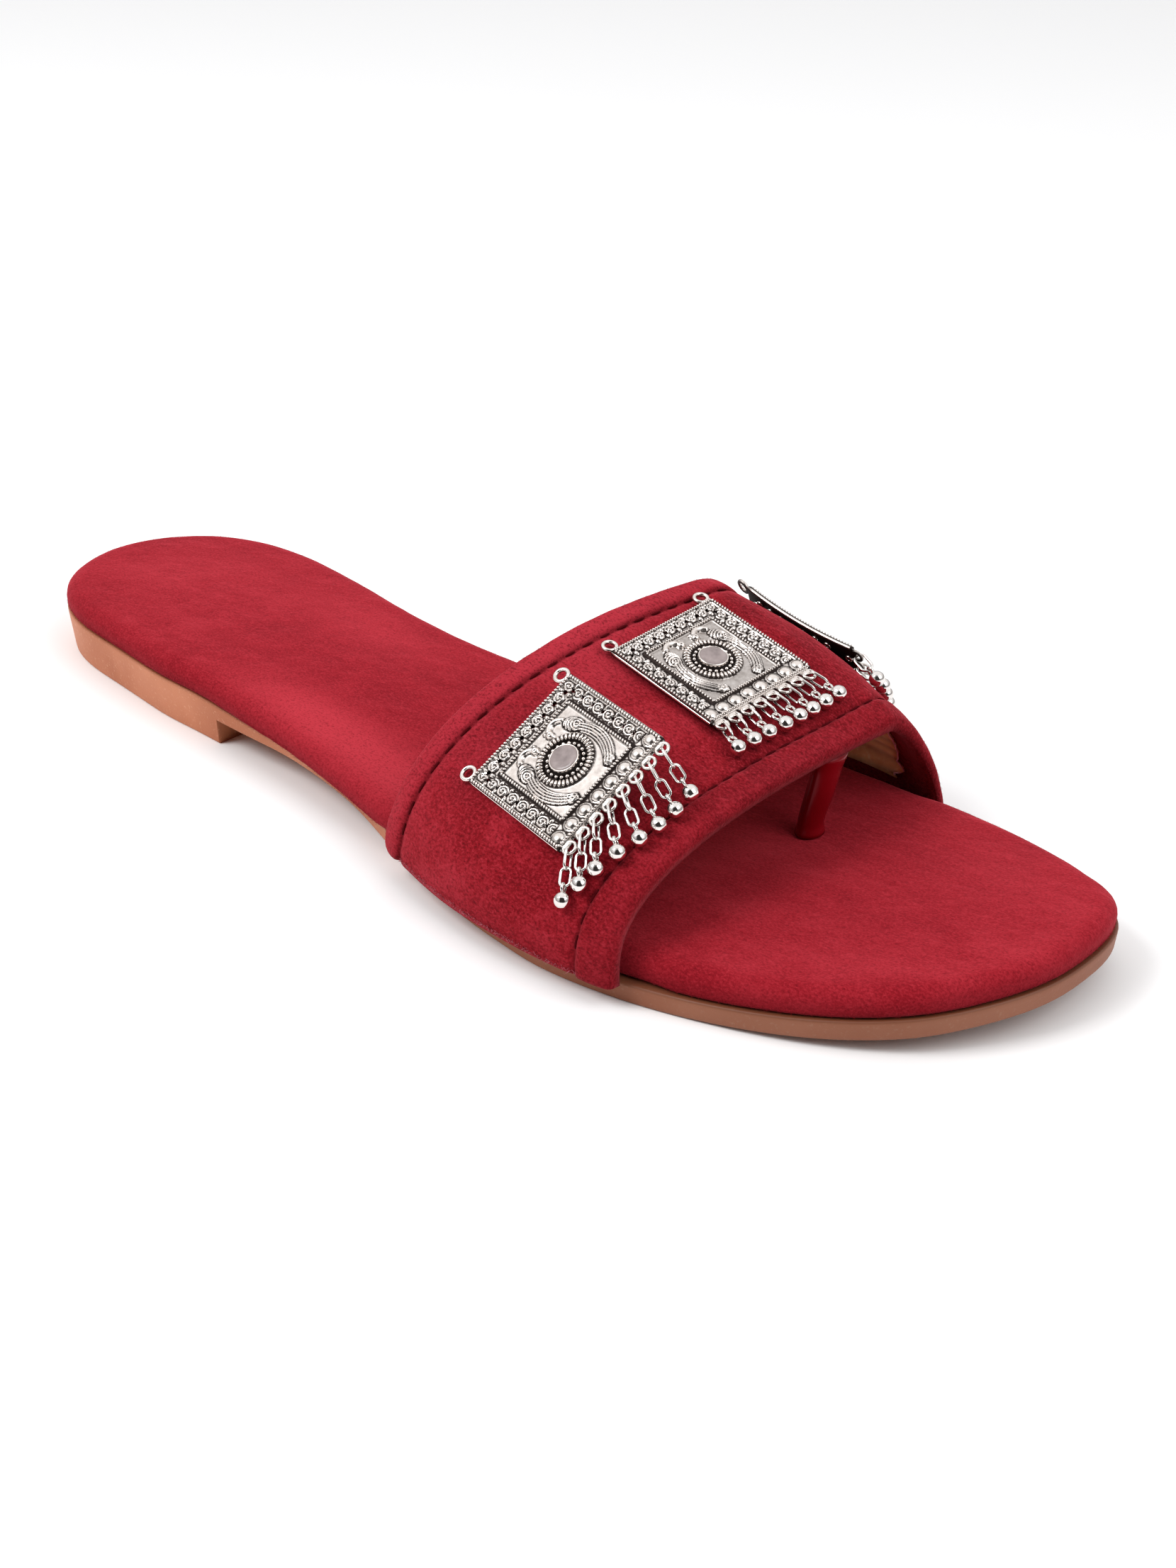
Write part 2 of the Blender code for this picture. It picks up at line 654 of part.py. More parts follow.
class DropPose:
    """One drop's links and ball for a swing in its plate and the dips of its ring and of the rest."""

    def __init__(self, seat, hole, swing, ring_dip, ball_dip):
        side, toe, out = plate_axes(seat)
        level = toe * math.cos(math.radians(swing)) - side * math.sin(math.radians(swing))
        self.axis = level.cross(out).normalized()
        self.ring_dip = ring_dip
        ring_way = dipped(level, out, ring_dip)
        tail_way = dipped(level, out, ball_dip)
        tail_out = self.axis.cross(tail_way).normalized()
        ring_out = self.axis.cross(ring_way).normalized()
        self.links = [Link(hole, ring_way, ring_out, LINK_LENGTH, LINK_HALF_WIDTH, 5)]
        low = hole + ring_way * (LINK_LENGTH - 2 * WIRE + LINK_BITE) * MM + self.axis * LINK_ASIDE * MM
        lean = math.radians(LINK_LEAN)
        width_way = self.axis * math.cos(lean) + tail_out * math.sin(lean)
        if seat.links == 2:
            self.links.append(Link(low, tail_way, width_way, SECOND_LINK, LINK_HALF_WIDTH * 0.8, 5))
            low = low + tail_way * (SECOND_LINK - 2 * WIRE + LINK_BITE) * MM + tail_out * LINK_ASIDE * MM
            width_way = tail_out
        self.links.append(Link(low, tail_way, width_way, LOOP_LENGTH, LOOP_HALF_WIDTH, 3))
        self.ball = low + tail_way * (LOOP_LENGTH + BELL_RADIUS - BELL_SINK) * MM

    def spheres(self):
        """Return points of the drop with the radius of metal about each, in millimetres."""
        found = [(self.ball / MM, BELL_RADIUS)]
        for link in self.links:
            for along, aside, _, _ in link_path(link.length, link.half, link.bend_points):
                found.append((link.top / MM + link.way * along + link.width_way * aside, WIRE))
        return found


def dipped(level, out, angle):
    """Return a direction that hangs below a plate by an angle in degrees."""
    return (level * math.cos(math.radians(angle)) - out * math.sin(math.radians(angle))).normalized()


def strap_room(spheres, strap_tree):
    """Return the least distance in millimetres from a drop to the strap, below zero inside it."""
    room = []
    for point, radius in spheres:
        near, normal, _, distance = strap_tree.find_nearest(point * MM)
        side = 1 if (point * MM - near).dot(normal) > 0 else -1
        room.append(side * distance / MM - radius)
    return min(room)


def drop_room(spheres, others):
    """Return the least distance in millimetres between a drop and the drops made before it."""
    room = [99.0]
    for other in others:
        for point, radius in spheres:
            room += [(point - far).length - radius - far_radius for far, far_radius in other]
    return min(room)


def resting_pose(seat, hole, swing, strap_tree):
    """Return the pose in which a drop lies on the strap: its ring comes down first, then the rest."""
    ring_dip, ball_dip = RING_DIP[0], BALL_DIP[0]
    best = DropPose(seat, hole, swing, ring_dip, ball_dip)
    ring_moves = True
    while ball_dip <= BALL_DIP[1]:
        pose = DropPose(seat, hole, swing, ring_dip, ball_dip)
        if strap_room(pose.spheres(), strap_tree) >= REST_GAP:
            best = pose
        elif ring_moves:
            ring_moves = False
            ring_dip = max(ring_dip - DIP_STEP, RING_DIP[0])
        else:
            break
        ball_dip += DIP_STEP
        if ring_moves and ring_dip < RING_DIP[1]:
            ring_dip += DIP_STEP
    return best


def bell_drop(seat, index, pose, strap_tree, neighbours):
    """Return one jump ring with its bell, hung in a hole of its plate and clear of its neighbours."""
    hole = pose @ (Vector((*eyelet_centres()[index], seat.curl)) * MM)
    found = []
    for step in SWING_STEPS:
        rest = resting_pose(seat, hole, seat.swings[index] + step, strap_tree)
        room = drop_room(rest.spheres(), neighbours)
        found.append((room, rest))
        if room >= SIDE_GAP:
            break
    room, rest = found[-1] if found[-1][0] >= SIDE_GAP else max(found, key=lambda pair: pair[0])
    name = "bell_%s_%d" % (seat.name, index + 1)
    mesh = joined(name, [wire_loop(link) for link in rest.links] + [ball(rest.ball)])
    mesh.transform(Matrix.Translation(-hole))
    return Drop(name, hole, rest.axis, math.floor(RING_FREE + rest.ring_dip), mesh, rest.spheres())


def tree_of(mesh):
    """Return a search tree over a mesh's triangles, in metres."""
    mesh.calc_loop_triangles()
    triangles = [tuple(triangle.vertices) for triangle in mesh.loop_triangles]
    return BVHTree.FromPolygons([vertex.co for vertex in mesh.vertices], triangles)


def build():
    """Build the sandal and return its bell drops, for whoever lists their joints."""
    for old in list(bpy.data.objects):
        bpy.data.objects.remove(old)
    velvet = material("red_velvet", (0.42, 0.012, 0.03), 0.85)
    strap_velvet = material("red_velvet_strap", (0.38, 0.010, 0.026), 0.85)
    sole_finish = material("tan_moulded_sole", (0.55, 0.27, 0.11), 0.55)
    post_finish = material("glossy_red_post", (0.30, 0.004, 0.012), 0.12)
    plate_finish = material("cast_silver_metal", (0.72, 0.70, 0.68), 0.3, 1.0)
    bell_finish = material("bright_silver_metal", (0.82, 0.80, 0.78), 0.15, 1.0)

    add_object("outsole", outsole(), sole_finish)
    pad = add_object("footbed", footbed(), velvet)
    band = add_object("strap", strap(StrapForm()), strap_velvet)
    strap_tree = tree_of(band.data)
    add_object("toe_post", toe_post(strap_tree, tree_of(pad.data)), post_finish)

    pattern = plate()
    drops = []
    for seat in PLATE_SEATS:
        mesh = curled(pattern, seat.curl)
        pose = plate_pose(seat, mesh, strap_tree)
        made = add_object("plate_" + seat.name, mesh, plate_finish)
        made.matrix_world = pose
        for index in range(EYELETS):
            drop = bell_drop(seat, index, pose, strap_tree, [other.spheres for other in drops[-2:]])
            bell = add_object(drop.name, drop.mesh, bell_finish)
            bell.location = drop.hole
            drops.append(drop)
    bpy.context.view_layer.update()
    return drops


BELL_DROPS = build()
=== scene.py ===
"""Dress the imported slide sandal: velvet footbed and strap, sole, lining, stitches, cast plates and bells.

Sizes are in millimetres in the classes and are turned to metres as a mesh is made. The frame is the record's:
+X from the heel to the toe, +Y to the inner side of the right foot, +Z up.
"""

import json
import logging
import math
from collections.abc import Callable, Iterable, Sequence
from dataclasses import dataclass, field
from enum import Enum

import bmesh
import bpy
import numpy as np
from mathutils import Matrix, Vector

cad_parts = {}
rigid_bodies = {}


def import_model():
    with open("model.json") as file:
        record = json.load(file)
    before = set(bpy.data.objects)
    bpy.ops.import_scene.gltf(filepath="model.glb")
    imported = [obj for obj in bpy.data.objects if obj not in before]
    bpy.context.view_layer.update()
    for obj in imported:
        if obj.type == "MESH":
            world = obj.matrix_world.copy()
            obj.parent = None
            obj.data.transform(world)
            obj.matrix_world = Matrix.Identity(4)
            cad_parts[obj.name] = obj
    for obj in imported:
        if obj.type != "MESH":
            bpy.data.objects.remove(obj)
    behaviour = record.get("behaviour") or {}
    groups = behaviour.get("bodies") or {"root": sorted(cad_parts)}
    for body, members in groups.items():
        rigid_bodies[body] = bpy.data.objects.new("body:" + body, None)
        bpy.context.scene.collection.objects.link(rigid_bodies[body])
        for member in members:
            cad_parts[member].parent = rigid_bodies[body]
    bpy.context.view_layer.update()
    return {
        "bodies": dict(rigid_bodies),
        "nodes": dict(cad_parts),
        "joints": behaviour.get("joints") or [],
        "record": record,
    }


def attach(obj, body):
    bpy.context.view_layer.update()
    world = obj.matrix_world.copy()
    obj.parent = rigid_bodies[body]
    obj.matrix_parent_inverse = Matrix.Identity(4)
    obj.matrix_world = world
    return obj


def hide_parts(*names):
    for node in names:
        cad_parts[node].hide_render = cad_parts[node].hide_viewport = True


LOG = logging.getLogger("sandal")
MM = 0.001
BODY = "sandal"
WELD = 1e-6
FINE_WELD = 1e-7

Points = np.ndarray
Row = tuple[float, ...]
Colour = tuple[float, float, float]
Mesh = bpy.types.Mesh
Material = bpy.types.Material
Socket = bpy.types.NodeSocket


# Small helpers for numbers and meshes

def smooth_table(rows: Sequence[Row], column: int, at: Points | float) -> Points:
    """Read a table smoothly, without overshooting its rows.

    Args:
        rows: The table; the first column is the place that it is read at.
        column: The column to read.
        at: The place or places to read.

    Returns:
        The values there.
    """
    xs = np.array([row[0] for row in rows], float)
    ys = np.array([row[column] for row in rows], float)
    steps = np.diff(ys) / np.diff(xs)
    slopes = np.zeros(len(xs))
    rising = steps[:-1] * steps[1:] > 0
    slopes[1:-1][rising] = 2 * (steps[:-1] * steps[1:])[rising] / (steps[:-1] + steps[1:])[rising]
    at = np.clip(np.asarray(at, float), xs[0], xs[-1])
    i = np.clip(np.searchsorted(xs, at, side="right") - 1, 0, len(xs) - 2)
    span = xs[i + 1] - xs[i]
    t = (at - xs[i]) / span
    return (ys[i] * (1 + 2 * t) * (1 - t) ** 2 + slopes[i] * span * t * (1 - t) ** 2
            + ys[i + 1] * t * t * (3 - 2 * t) + slopes[i + 1] * span * t * t * (t - 1))


def ease(value: Points | float, low: float, high: float) -> Points:
    """Return 0 below low, 1 above high and a smooth step between them."""
    t = np.clip((np.asarray(value, float) - low) / (high - low), 0.0, 1.0)
    return t * t * (3 - 2 * t)


def bump(distance: Points, reach: float) -> Points:
    """Return a round hump of height 1 that falls to 0 at a reach from its middle."""
    share = np.clip(np.abs(distance) / reach, 0.0, 1.0)
    return np.sqrt(1 - share * share)


def wobble(at: Points, seed: int, waves: int = 6, lowest: float = 1.0) -> Points:
    """Return a gentle random curve over places measured in turns, the same on each run.

    Args:
        at: The places.
        seed: The random seed.
        waves: How many waves are added up.
        lowest: The first wave's pitch.

    Returns:
        The curve's value at each place.
    """
    source = np.random.default_rng(seed)
    total = np.zeros_like(np.asarray(at, float))
    for k in range(waves):
        pitch = lowest * (k + 1) * source.uniform(0.8, 1.2)
        total += np.sin(2 * np.pi * (pitch * at + source.uniform())) / (k + 1) ** 0.7
    return total / 2.0


def grid_faces(rows: int, columns: int, closed: bool, start: int = 0) -> list[tuple[int, ...]]:
    """Return the quads between rows of points.

    Args:
        rows: The number of rows.
        columns: The number of points in a row.
        closed: Whether a row's last point joins its first.
        start: The number of the first point.

    Returns:
        One tuple of point numbers for each quad.
    """
    faces = []
    for i in range(rows - 1):
        for k in range(columns if closed else columns - 1):
            j = (k + 1) % columns
            low, high = start + i * columns, start + (i + 1) * columns
            faces.append((low + k, low + j, high + j, high + k))
    return faces


def plain_mesh(name: str, points: Iterable, faces: Iterable = (), edges: Iterable = ()) -> Mesh:
    """Return a mesh of points in metres, just as they are given."""
    mesh = bpy.data.meshes.new(name)
    mesh.from_pydata(np.asarray(points, float).tolist(), list(edges), list(faces))
    return mesh


def tidy_mesh(mesh: Mesh, weld: float = WELD) -> Mesh:
    """Merge a mesh's doubled points, turn its faces out and shade it smooth.

    Args:
        mesh: The mesh, which is changed.
        weld: The distance in metres under which points are merged.

    Returns:
        The same mesh.
    """
    work = bmesh.new()
    work.from_mesh(mesh)
    bmesh.ops.remove_doubles(work, verts=work.verts, dist=weld)
    bmesh.ops.dissolve_degenerate(work, edges=work.edges, dist=weld)
    bmesh.ops.recalc_face_normals(work, faces=work.faces)
    work.to_mesh(mesh)
    work.free()
    mesh.shade_smooth()
    return mesh


def strip_mesh(rows: Sequence[Points], closed: bool = False) -> Mesh:
    """Return the band of faces between rows of points, in metres."""
    return plain_mesh("strip", np.concatenate(rows), grid_faces(len(rows), len(rows[0]), closed))


def path_mesh(points: Points, closed: bool = False) -> Mesh:
    """Return a line of edges through points in metres, for the wire recipe."""
    count = len(points)
    steps = count if closed else count - 1
    return plain_mesh("path", points, edges=[(k, (k + 1) % count) for k in range(steps)])


def mesh_points(mesh: Mesh) -> Points:
    """Return a mesh's points as rows, in metres."""
    return np.array([vertex.co[:] for vertex in mesh.vertices])


def paint(mesh: Mesh, name: str, values: Sequence[float] | float) -> None:
    """Store one number at each point of a mesh, for its material to read."""
    layer = mesh.attributes.new(name, "FLOAT", "POINT")
    layer.data.foreach_set("value", np.array(np.broadcast_to(values, len(mesh.vertices)), np.float32))


def show(name: str, mesh: Mesh) -> bpy.types.Object:
    """Put a mesh in the scene as an object at the origin and return it."""
    made = bpy.data.objects.new(name, mesh)
    bpy.context.scene.collection.objects.link(made)
    return made


def wear(name: str, mesh: Mesh, finish: Material, node: str = "",
         body: str = BODY) -> bpy.types.Object:
    """Put a finished piece in the scene.

    Args:
        name: The piece's name.
        mesh: Its mesh, in place.
        finish: Its material.
        node: The node that it stands for, if any.
        body: The body that it rides on.

    Returns:
        The piece.
    """
    mesh.materials.clear()
    mesh.materials.append(finish)
    piece = show(name, mesh)
    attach(piece, body)
    if node:
        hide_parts(node)
    LOG.info("%s: %d faces", name, len(mesh.polygons))
    return piece


def merged(name: str, meshes: Sequence[Mesh]) -> Mesh:
    """Join several meshes.

    Args:
        name: The new mesh's name.
        meshes: The meshes, which stay.

    Returns:
        One mesh that holds the faces of all, with their materials.
    """
    work = bmesh.new()
    slots: list[Material] = []
    for mesh in meshes:
        first = len(work.faces)
        work.from_mesh(mesh)
        work.faces.ensure_lookup_table()
        places = []
        for used in mesh.materials:
            if used not in slots:
                slots.append(used)
            places.append(slots.index(used))
        for face in work.faces[first:]:
            face.material_index = places[face.material_index] if places else 0
    made = bpy.data.meshes.new(name)
    work.to_mesh(made)
    work.free()
    for used in slots:
        made.materials.append(used)
    made.shade_smooth()
    return made


# Node trees

class Pen:
    """Adds nodes to a tree and links them, in few words."""

    def __init__(self, tree: bpy.types.NodeTree) -> None:
        """Keep the tree that is drawn in."""
        self.tree = tree

    def put(self, socket: Socket, value: object) -> None:
        """Set a socket to a value, or link it to an output; a colour gets full alpha."""
        if isinstance(value, bpy.types.NodeSocket):
            self.tree.links.new(value, socket)
        elif socket.type == "RGBA" and len(value) == 3:
            socket.default_value = (*value, 1.0)
        else:
            socket.default_value = value

    def fill(self, node: bpy.types.Node, inputs: dict) -> None:
        """Set or link a node's inputs, by name or number."""
        for key, value in inputs.items():
            self.put(node.inputs[key], value)

    def add(self, kind: str, inputs: dict | None = None, **settings: object) -> bpy.types.Node:
        """Add a node.

        Args:
            kind: The node's type.
            inputs: Its inputs by name or number, each a value or an output to link.
            settings: The node's own properties.

        Returns:
            The node.
        """
        node = self.tree.nodes.new(kind)
        for name, value in settings.items():
            setattr(node, name, value)
        self.fill(node, inputs or {})
        return node

    def math(self, operation: str, first: object, second: object = 0.0, clamp: bool = False) -> Socket:
        """Add a Math node and return its output."""
        inputs = {0: first, 1: second}
        return self.add("ShaderNodeMath", inputs, operation=operation, use_clamp=clamp).outputs[0]

    def times(self, first: object, second: object) -> Socket:
        """Multiply two values."""
        return self.math("MULTIPLY", first, second)

    def vector(self, operation: str, first: object, key: int, value: object) -> bpy.types.Node:
        """Add a Vector Math node, with its second input by number, and return it."""
        return self.add("ShaderNodeVectorMath", {0: first, key: value}, operation=operation)

    def blend(self, share: object, first: object, second: object) -> Socket:
        """Mix two colours by a share and return the colour."""
        return self.add("ShaderNodeMix", {0: share, 6: first, 7: second}, data_type="RGBA").outputs[2]

    def spread(self, value: object, low: float, high: float, to_low: float = 0.0,
               to_high: float = 1.0) -> Socket:
        """Stretch a range of values to another one, clamped, and return the result."""
        return self.add("ShaderNodeMapRange", {0: value, 1: low, 2: high, 3: to_low, 4: to_high}).outputs[0]

    def noise(self, vector: object, scale: object, detail: float = 2.0, rough: float = 0.5) -> Socket:
        """Add a noise texture and return its value."""
        inputs = {"Vector": vector, "Scale": scale, "Detail": detail, "Roughness": rough}
        return self.add("ShaderNodeTexNoise", inputs).outputs[0]

    def place(self) -> Socket:
        """Return the piece's Object coordinates."""
        return self.add("ShaderNodeTexCoord").outputs["Object"]

    def painted(self, name: str) -> Socket:
        """Return the number that is painted on the piece under a name."""
        return self.add("ShaderNodeAttribute", attribute_name=name).outputs["Fac"]

    def bump(self, strength: float, distance: float, height: Socket, **more: Socket) -> Socket:
        """Add a Bump node, with more inputs by name, and return its normal."""
        inputs = {"Strength": strength, "Distance": distance, "Height": height, **more}
        return self.add("ShaderNodeBump", inputs).outputs[0]


def shader_group(name: str, inputs: Sequence[tuple[str, str, object]], outputs: Sequence[tuple[str, str]],
                 draw: Callable[[Pen, dict], dict]) -> bpy.types.NodeTree:
    """Build a shader node group with named inputs and outputs.

    Args:
        name: The group's name.
        inputs: The name, socket type and default value of each input.
        outputs: The name and socket type of each output.
        draw: Draws the group; it is given a pen and the inputs, and returns the outputs by name.

    Returns:
        The group.
    """
    tree = bpy.data.node_groups.new(name, "ShaderNodeTree")
    for label, kind, value in inputs:
        socket = tree.interface.new_socket(label, in_out="INPUT", socket_type=kind)
        if value is not None:
            socket.default_value = value
    for label, kind in outputs:
        tree.interface.new_socket(label, in_out="OUTPUT", socket_type=kind)
    pen = Pen(tree)
    source = pen.add("NodeGroupInput")
    drawn = draw(pen, {label: source.outputs[label] for label, _, _ in inputs})
    pen.add("NodeGroupOutput", drawn)
    return tree


def draw_pile(pen: Pen, given: dict) -> dict:
    """Draw velvet pile: brushed patches, single fibres, painted shade and painted sheen, and the height of
    both.

    Args:
        pen: Draws in the group.
        given: The group's inputs by name.

    Returns:
        The group's outputs by name.
    """
    patches = pen.noise(given["Vector"], given["Patch Scale"], 4.0, 0.6)
    streaks = pen.noise(given["Vector"], pen.times(given["Patch Scale"], 5.0), 3.0, 0.6)
    fibres = pen.noise(given["Vector"], given["Fibre Scale"], 2.0, 0.7)
    lay = pen.math("ADD", pen.times(patches, 0.7), pen.times(streaks, 0.3))
    against = pen.times(pen.spread(lay, 0.52, 0.32), given["Patches"])
    along = pen.times(pen.spread(lay, 0.5, 0.68), given["Patches"])
    base = pen.blend(against, given["Pile"], given["Deep"])
    # The painted sheen in Glow, and the patches where the pile lies along, brighten it toward Bright
    base = pen.blend(pen.math("MAXIMUM", along, given["Glow"]), base, given["Bright"])
    gaps = pen.blend(pen.times(pen.spread(fibres, 0.5, 0.3), given["Tips"]), base, given["Deep"])
    tips = pen.times(pen.spread(fibres, 0.5, 0.72), given["Tips"])
    colour = pen.blend(tips, gaps, given["Bright"])
    # Painted shade darkens it toward Deep
    shaded = pen.blend(pen.times(given["Shade"], 0.9), colour, given["Deep"])
    height = pen.math("ADD", pen.times(fibres, 0.75), pen.times(streaks, 0.25))
    return {"Colour": shaded, "Height": height, "Roughness": pen.spread(lay, 0.3, 0.7, 0.95, 0.8)}


def draw_grain(pen: Pen, given: dict) -> dict:
    """Draw fine moulded grain: cloudy colour, dark and light specks and a pebbled height.

    Args:
        pen: Draws in the group.
        given: The group's inputs by name.

    Returns:
        The group's outputs by name.
    """
    clouds = pen.noise(given["Vector"], given["Cloud Scale"], 3.0, 0.55)
    grain = pen.noise(given["Vector"], given["Grain Scale"], 3.0, 0.6)
    cells = pen.add("ShaderNodeTexVoronoi", {"Vector": given["Vector"], "Scale": given["Grain Scale"]})
    base = pen.blend(pen.spread(clouds, 0.35, 0.65), given["Dark"], given["Light"])
    specks = pen.times(pen.spread(grain, 0.58, 0.75), given["Specks"])
    colour = pen.blend(specks, base, given["Speck Colour"])
    height = pen.math("ADD", pen.times(cells.outputs["Distance"], 0.5), pen.times(grain, 0.5))
    return {"Colour": colour, "Height": height, "Roughness": pen.spread(clouds, 0.3, 0.7, 0.62, 0.48)}


def draw_cast(pen: Pen, given: dict) -> dict:
    """Draw cast silver-coloured metal: bright on its raised faces, dark and dull where "Recess" is high,
    which holds patina and painted shade.

    Args:
        pen: Draws in the group.
        given: The group's inputs by name.

    Returns:
        The group's outputs by name.
    """
    blotches = pen.noise(given["Vector"], 900.0, 3.0, 0.6)
    fine = pen.noise(given["Vector"], 5200.0, 2.0, 0.6)
    edge = pen.math("SUBTRACT", blotches, 0.5)
    # Patina and painted shade, read from "Recess", darken the metal toward Dark
    dark = pen.spread(pen.math("ADD", given["Recess"], pen.times(edge, 0.3)), 0.3, 0.88)
    mottled = pen.blend(pen.spread(blotches, 0.3, 0.7), given["Metal"], given["Warm"])
    colour = pen.blend(pen.times(dark, given["Tarnish"]), mottled, given["Dark"])
    rough = pen.math("ADD", pen.spread(dark, 0.0, 1.0, 0.16, 0.5), pen.times(fine, 0.12))
    return {"Colour": colour, "Roughness": rough, "Height": pen.math("ADD", fine, pen.times(blotches, 0.6))}


class Groups:
    """The shader groups that the finishes share, each built once."""

    def __init__(self) -> None:
        """Build the groups."""
        colour, number, vector = "NodeSocketColor", "NodeSocketFloat", "NodeSocketVector"
        out = (("Colour", colour), ("Height", number), ("Roughness", number))
        red = (0.3, 0.01, 0.02, 1.0)
        self.pile = shader_group("Velvet pile", (
            ("Vector", vector, None), ("Deep", colour, red), ("Pile", colour, red), ("Bright", colour, red),
            ("Tips", number, 0.4), ("Shade", number, 0.0), ("Glow", number, 0.0), ("Patches", number, 0.35),
            ("Patch Scale", number, 60.0), ("Fibre Scale", number, 3000.0)), out, draw_pile)
        self.grain = shader_group("Moulded grain", (
            ("Vector", vector, None), ("Dark", colour, red), ("Light", colour, red),
            ("Speck Colour", colour, red), ("Specks", number, 0.5), ("Cloud Scale", number, 40.0),
            ("Grain Scale", number, 1500.0)), out, draw_grain)
        self.cast = shader_group("Cast metal", (
            ("Vector", vector, None), ("Recess", number, 0.0), ("Metal", colour, red), ("Warm", colour, red),
            ("Dark", colour, red), ("Tarnish", number, 1.0)), out, draw_cast)


def new_material(name: str) -> tuple[Material, Pen, bpy.types.Node]:
    """Return a new material, a pen for its tree and its Principled shader."""
    made = bpy.data.materials.new(name)
    made.use_nodes = True
    return made, Pen(made.node_tree), made.node_tree.nodes["Principled BSDF"]


@dataclass(frozen=True)
class VelvetFinish:
    """Red velvet, with its pile's colours and scales."""

    name: str
    deep: Colour
    pile: Colour
    bright: Colour
    # rim is the colour of a painted sheen where the velvet is seen edge-on
    rim: Colour
    rim_sheen_share: float = 0.55
    tips: float = 0.35
    patch_scale: float = 38.0
    fibre_scale: float = 2400.0
    relief: float = 0.00022
    sheen: float = 0.12
    patches: float = 0.3
    lean: float = 0.0012
    nap_way: Colour = (0.7, 1.0, 1.0)
    sheen_tint: Colour = (1.0, 0.28, 0.32)

    def make(self, groups: Groups) -> Material:
        """Return the material; its "shade" darkens it with painted shade, its "glow" brightens it toward the
        bright colour, mostly as painted sheen, and the rim colour is a painted sheen where it is seen
        edge-on.

        Args:
            groups: The shared shader groups.

        Returns:
            The material.
        """
        made, pen, shader = new_material(self.name)
        place = pen.vector("MULTIPLY", pen.place(), 1, self.nap_way).outputs[0]
        shade = pen.painted("shade")
        pile = pen.add("ShaderNodeGroup", {
            "Vector": place, "Deep": self.deep, "Pile": self.pile, "Bright": self.bright, "Tips": self.tips,
            "Shade": shade, "Glow": pen.painted("glow"), "Patches": self.patches,
            "Patch Scale": self.patch_scale, "Fibre Scale": self.fibre_scale}, node_tree=groups.pile).outputs
        leaning = pen.bump(1.0, self.lean, pen.noise(place, self.patch_scale * 4.0, 3.0, 0.6))
        facing = pen.add("ShaderNodeLayerWeight", {"Blend": 0.35, "Normal": leaning}).outputs["Facing"]
        # Painted sheen toward the rim colour at grazing angles, held back where shade is painted
        rim = pen.times(pen.math("POWER", facing, 2.2), self.rim_sheen_share)
        unshaded_rim_sheen = pen.times(rim, pen.math("SUBTRACT", 1.0, shade, clamp=True))
        pen.fill(shader, {
            "Base Color": pen.blend(unshaded_rim_sheen, pile["Colour"], self.rim), "Roughness": pile["Roughness"],
            "Normal": pen.bump(0.7, self.relief, pile["Height"]), "Sheen Weight": self.sheen,
            "Sheen Roughness": 0.4, "Sheen Tint": self.sheen_tint, "Specular IOR Level": 0.03})
        return made


@dataclass(frozen=True)
class GrainFinish:
    """A moulded or grained skin, such as the sole or the lining."""

    name: str
    dark: Colour
    light: Colour
    speck: Colour
    specks: float = 0.45
    cloud_scale: float = 30.0
    grain_scale: float = 1500.0
    relief: float = 0.00006
    coat: float = 0.0
    tread: float = 0.0

    def make(self, groups: Groups) -> Material:
        """Return the material; the piece's "shade" darkens it.

        Args:
            groups: The shared shader groups.

        Returns:
            The material.
        """
        made, pen, shader = new_material(self.name)
        place = pen.place()
        grain = pen.add("ShaderNodeGroup", {
            "Vector": place, "Dark": self.dark, "Light": self.light, "Speck Colour": self.speck,
            "Specks": self.specks, "Cloud Scale": self.cloud_scale, "Grain Scale": self.grain_scale},
            node_tree=groups.grain).outputs
        darker = tuple(0.35 * part for part in self.dark)
        raised = pen.bump(0.6, self.relief, grain["Height"])
        if self.tread:
            raised = self.ribbed(pen, place, raised)
        pen.fill(shader, {
            "Base Color": pen.blend(pen.painted("shade"), grain["Colour"], darker), "Normal": raised,
            "Roughness": grain["Roughness"], "Coat Weight": self.coat, "Coat Roughness": 0.35})
        return made

    def ribbed(self, pen: Pen, place: Socket, raised: Socket) -> Socket:
        """Add the fine diamond tread where the piece's "tread" is 1.

        Args:
            pen: Draws in the material.
            place: The piece's coordinates.
            raised: The normal without the tread.

        Returns:
            The normal with the tread.
        """
        parts = pen.add("ShaderNodeSeparateXYZ", {0: place}).outputs
        waves = []
        for sign in (1.0, -1.0):
            run = pen.math("ADD", parts["X"], pen.times(parts["Y"], sign * 0.6))
            waves.append(pen.math("ABSOLUTE", pen.math("SINE", pen.times(run, math.pi / self.tread))))
        ribs = pen.times(pen.math("MINIMUM", *waves), pen.painted("tread"))
        return pen.bump(0.9, 0.0006, ribs, Normal=raised)


@dataclass(frozen=True)
class MetalFinish:
    """Silver-coloured metal, from bright polish to darkened cast relief."""

    name: str
    metal: Colour
    warm: Colour
    dark: Colour
    tarnish: float
    relief: float = 0.00002
    polish: float = 0.0

    def make(self, groups: Groups) -> Material:
        """Return the material; the piece's "recess" darkens it: patina and painted shade in its hollows,
        painted shade on its undersides and lower sides.

        Args:
            groups: The shared shader groups.

        Returns:
            The material.
        """
        made, pen, shader = new_material(self.name)
        cast = pen.add("ShaderNodeGroup", {
            "Vector": pen.place(), "Recess": pen.painted("recess"), "Metal": self.metal, "Warm": self.warm,
            "Dark": self.dark, "Tarnish": self.tarnish}, node_tree=groups.cast).outputs
        rough = cast["Roughness"]
        if self.polish:
            rough = pen.times(rough, 1.0 - self.polish)
        pen.fill(shader, {"Base Color": cast["Colour"], "Roughness": rough, "Metallic": 1.0,
                          "Normal": pen.bump(0.5, self.relief, cast["Height"])})
        return made


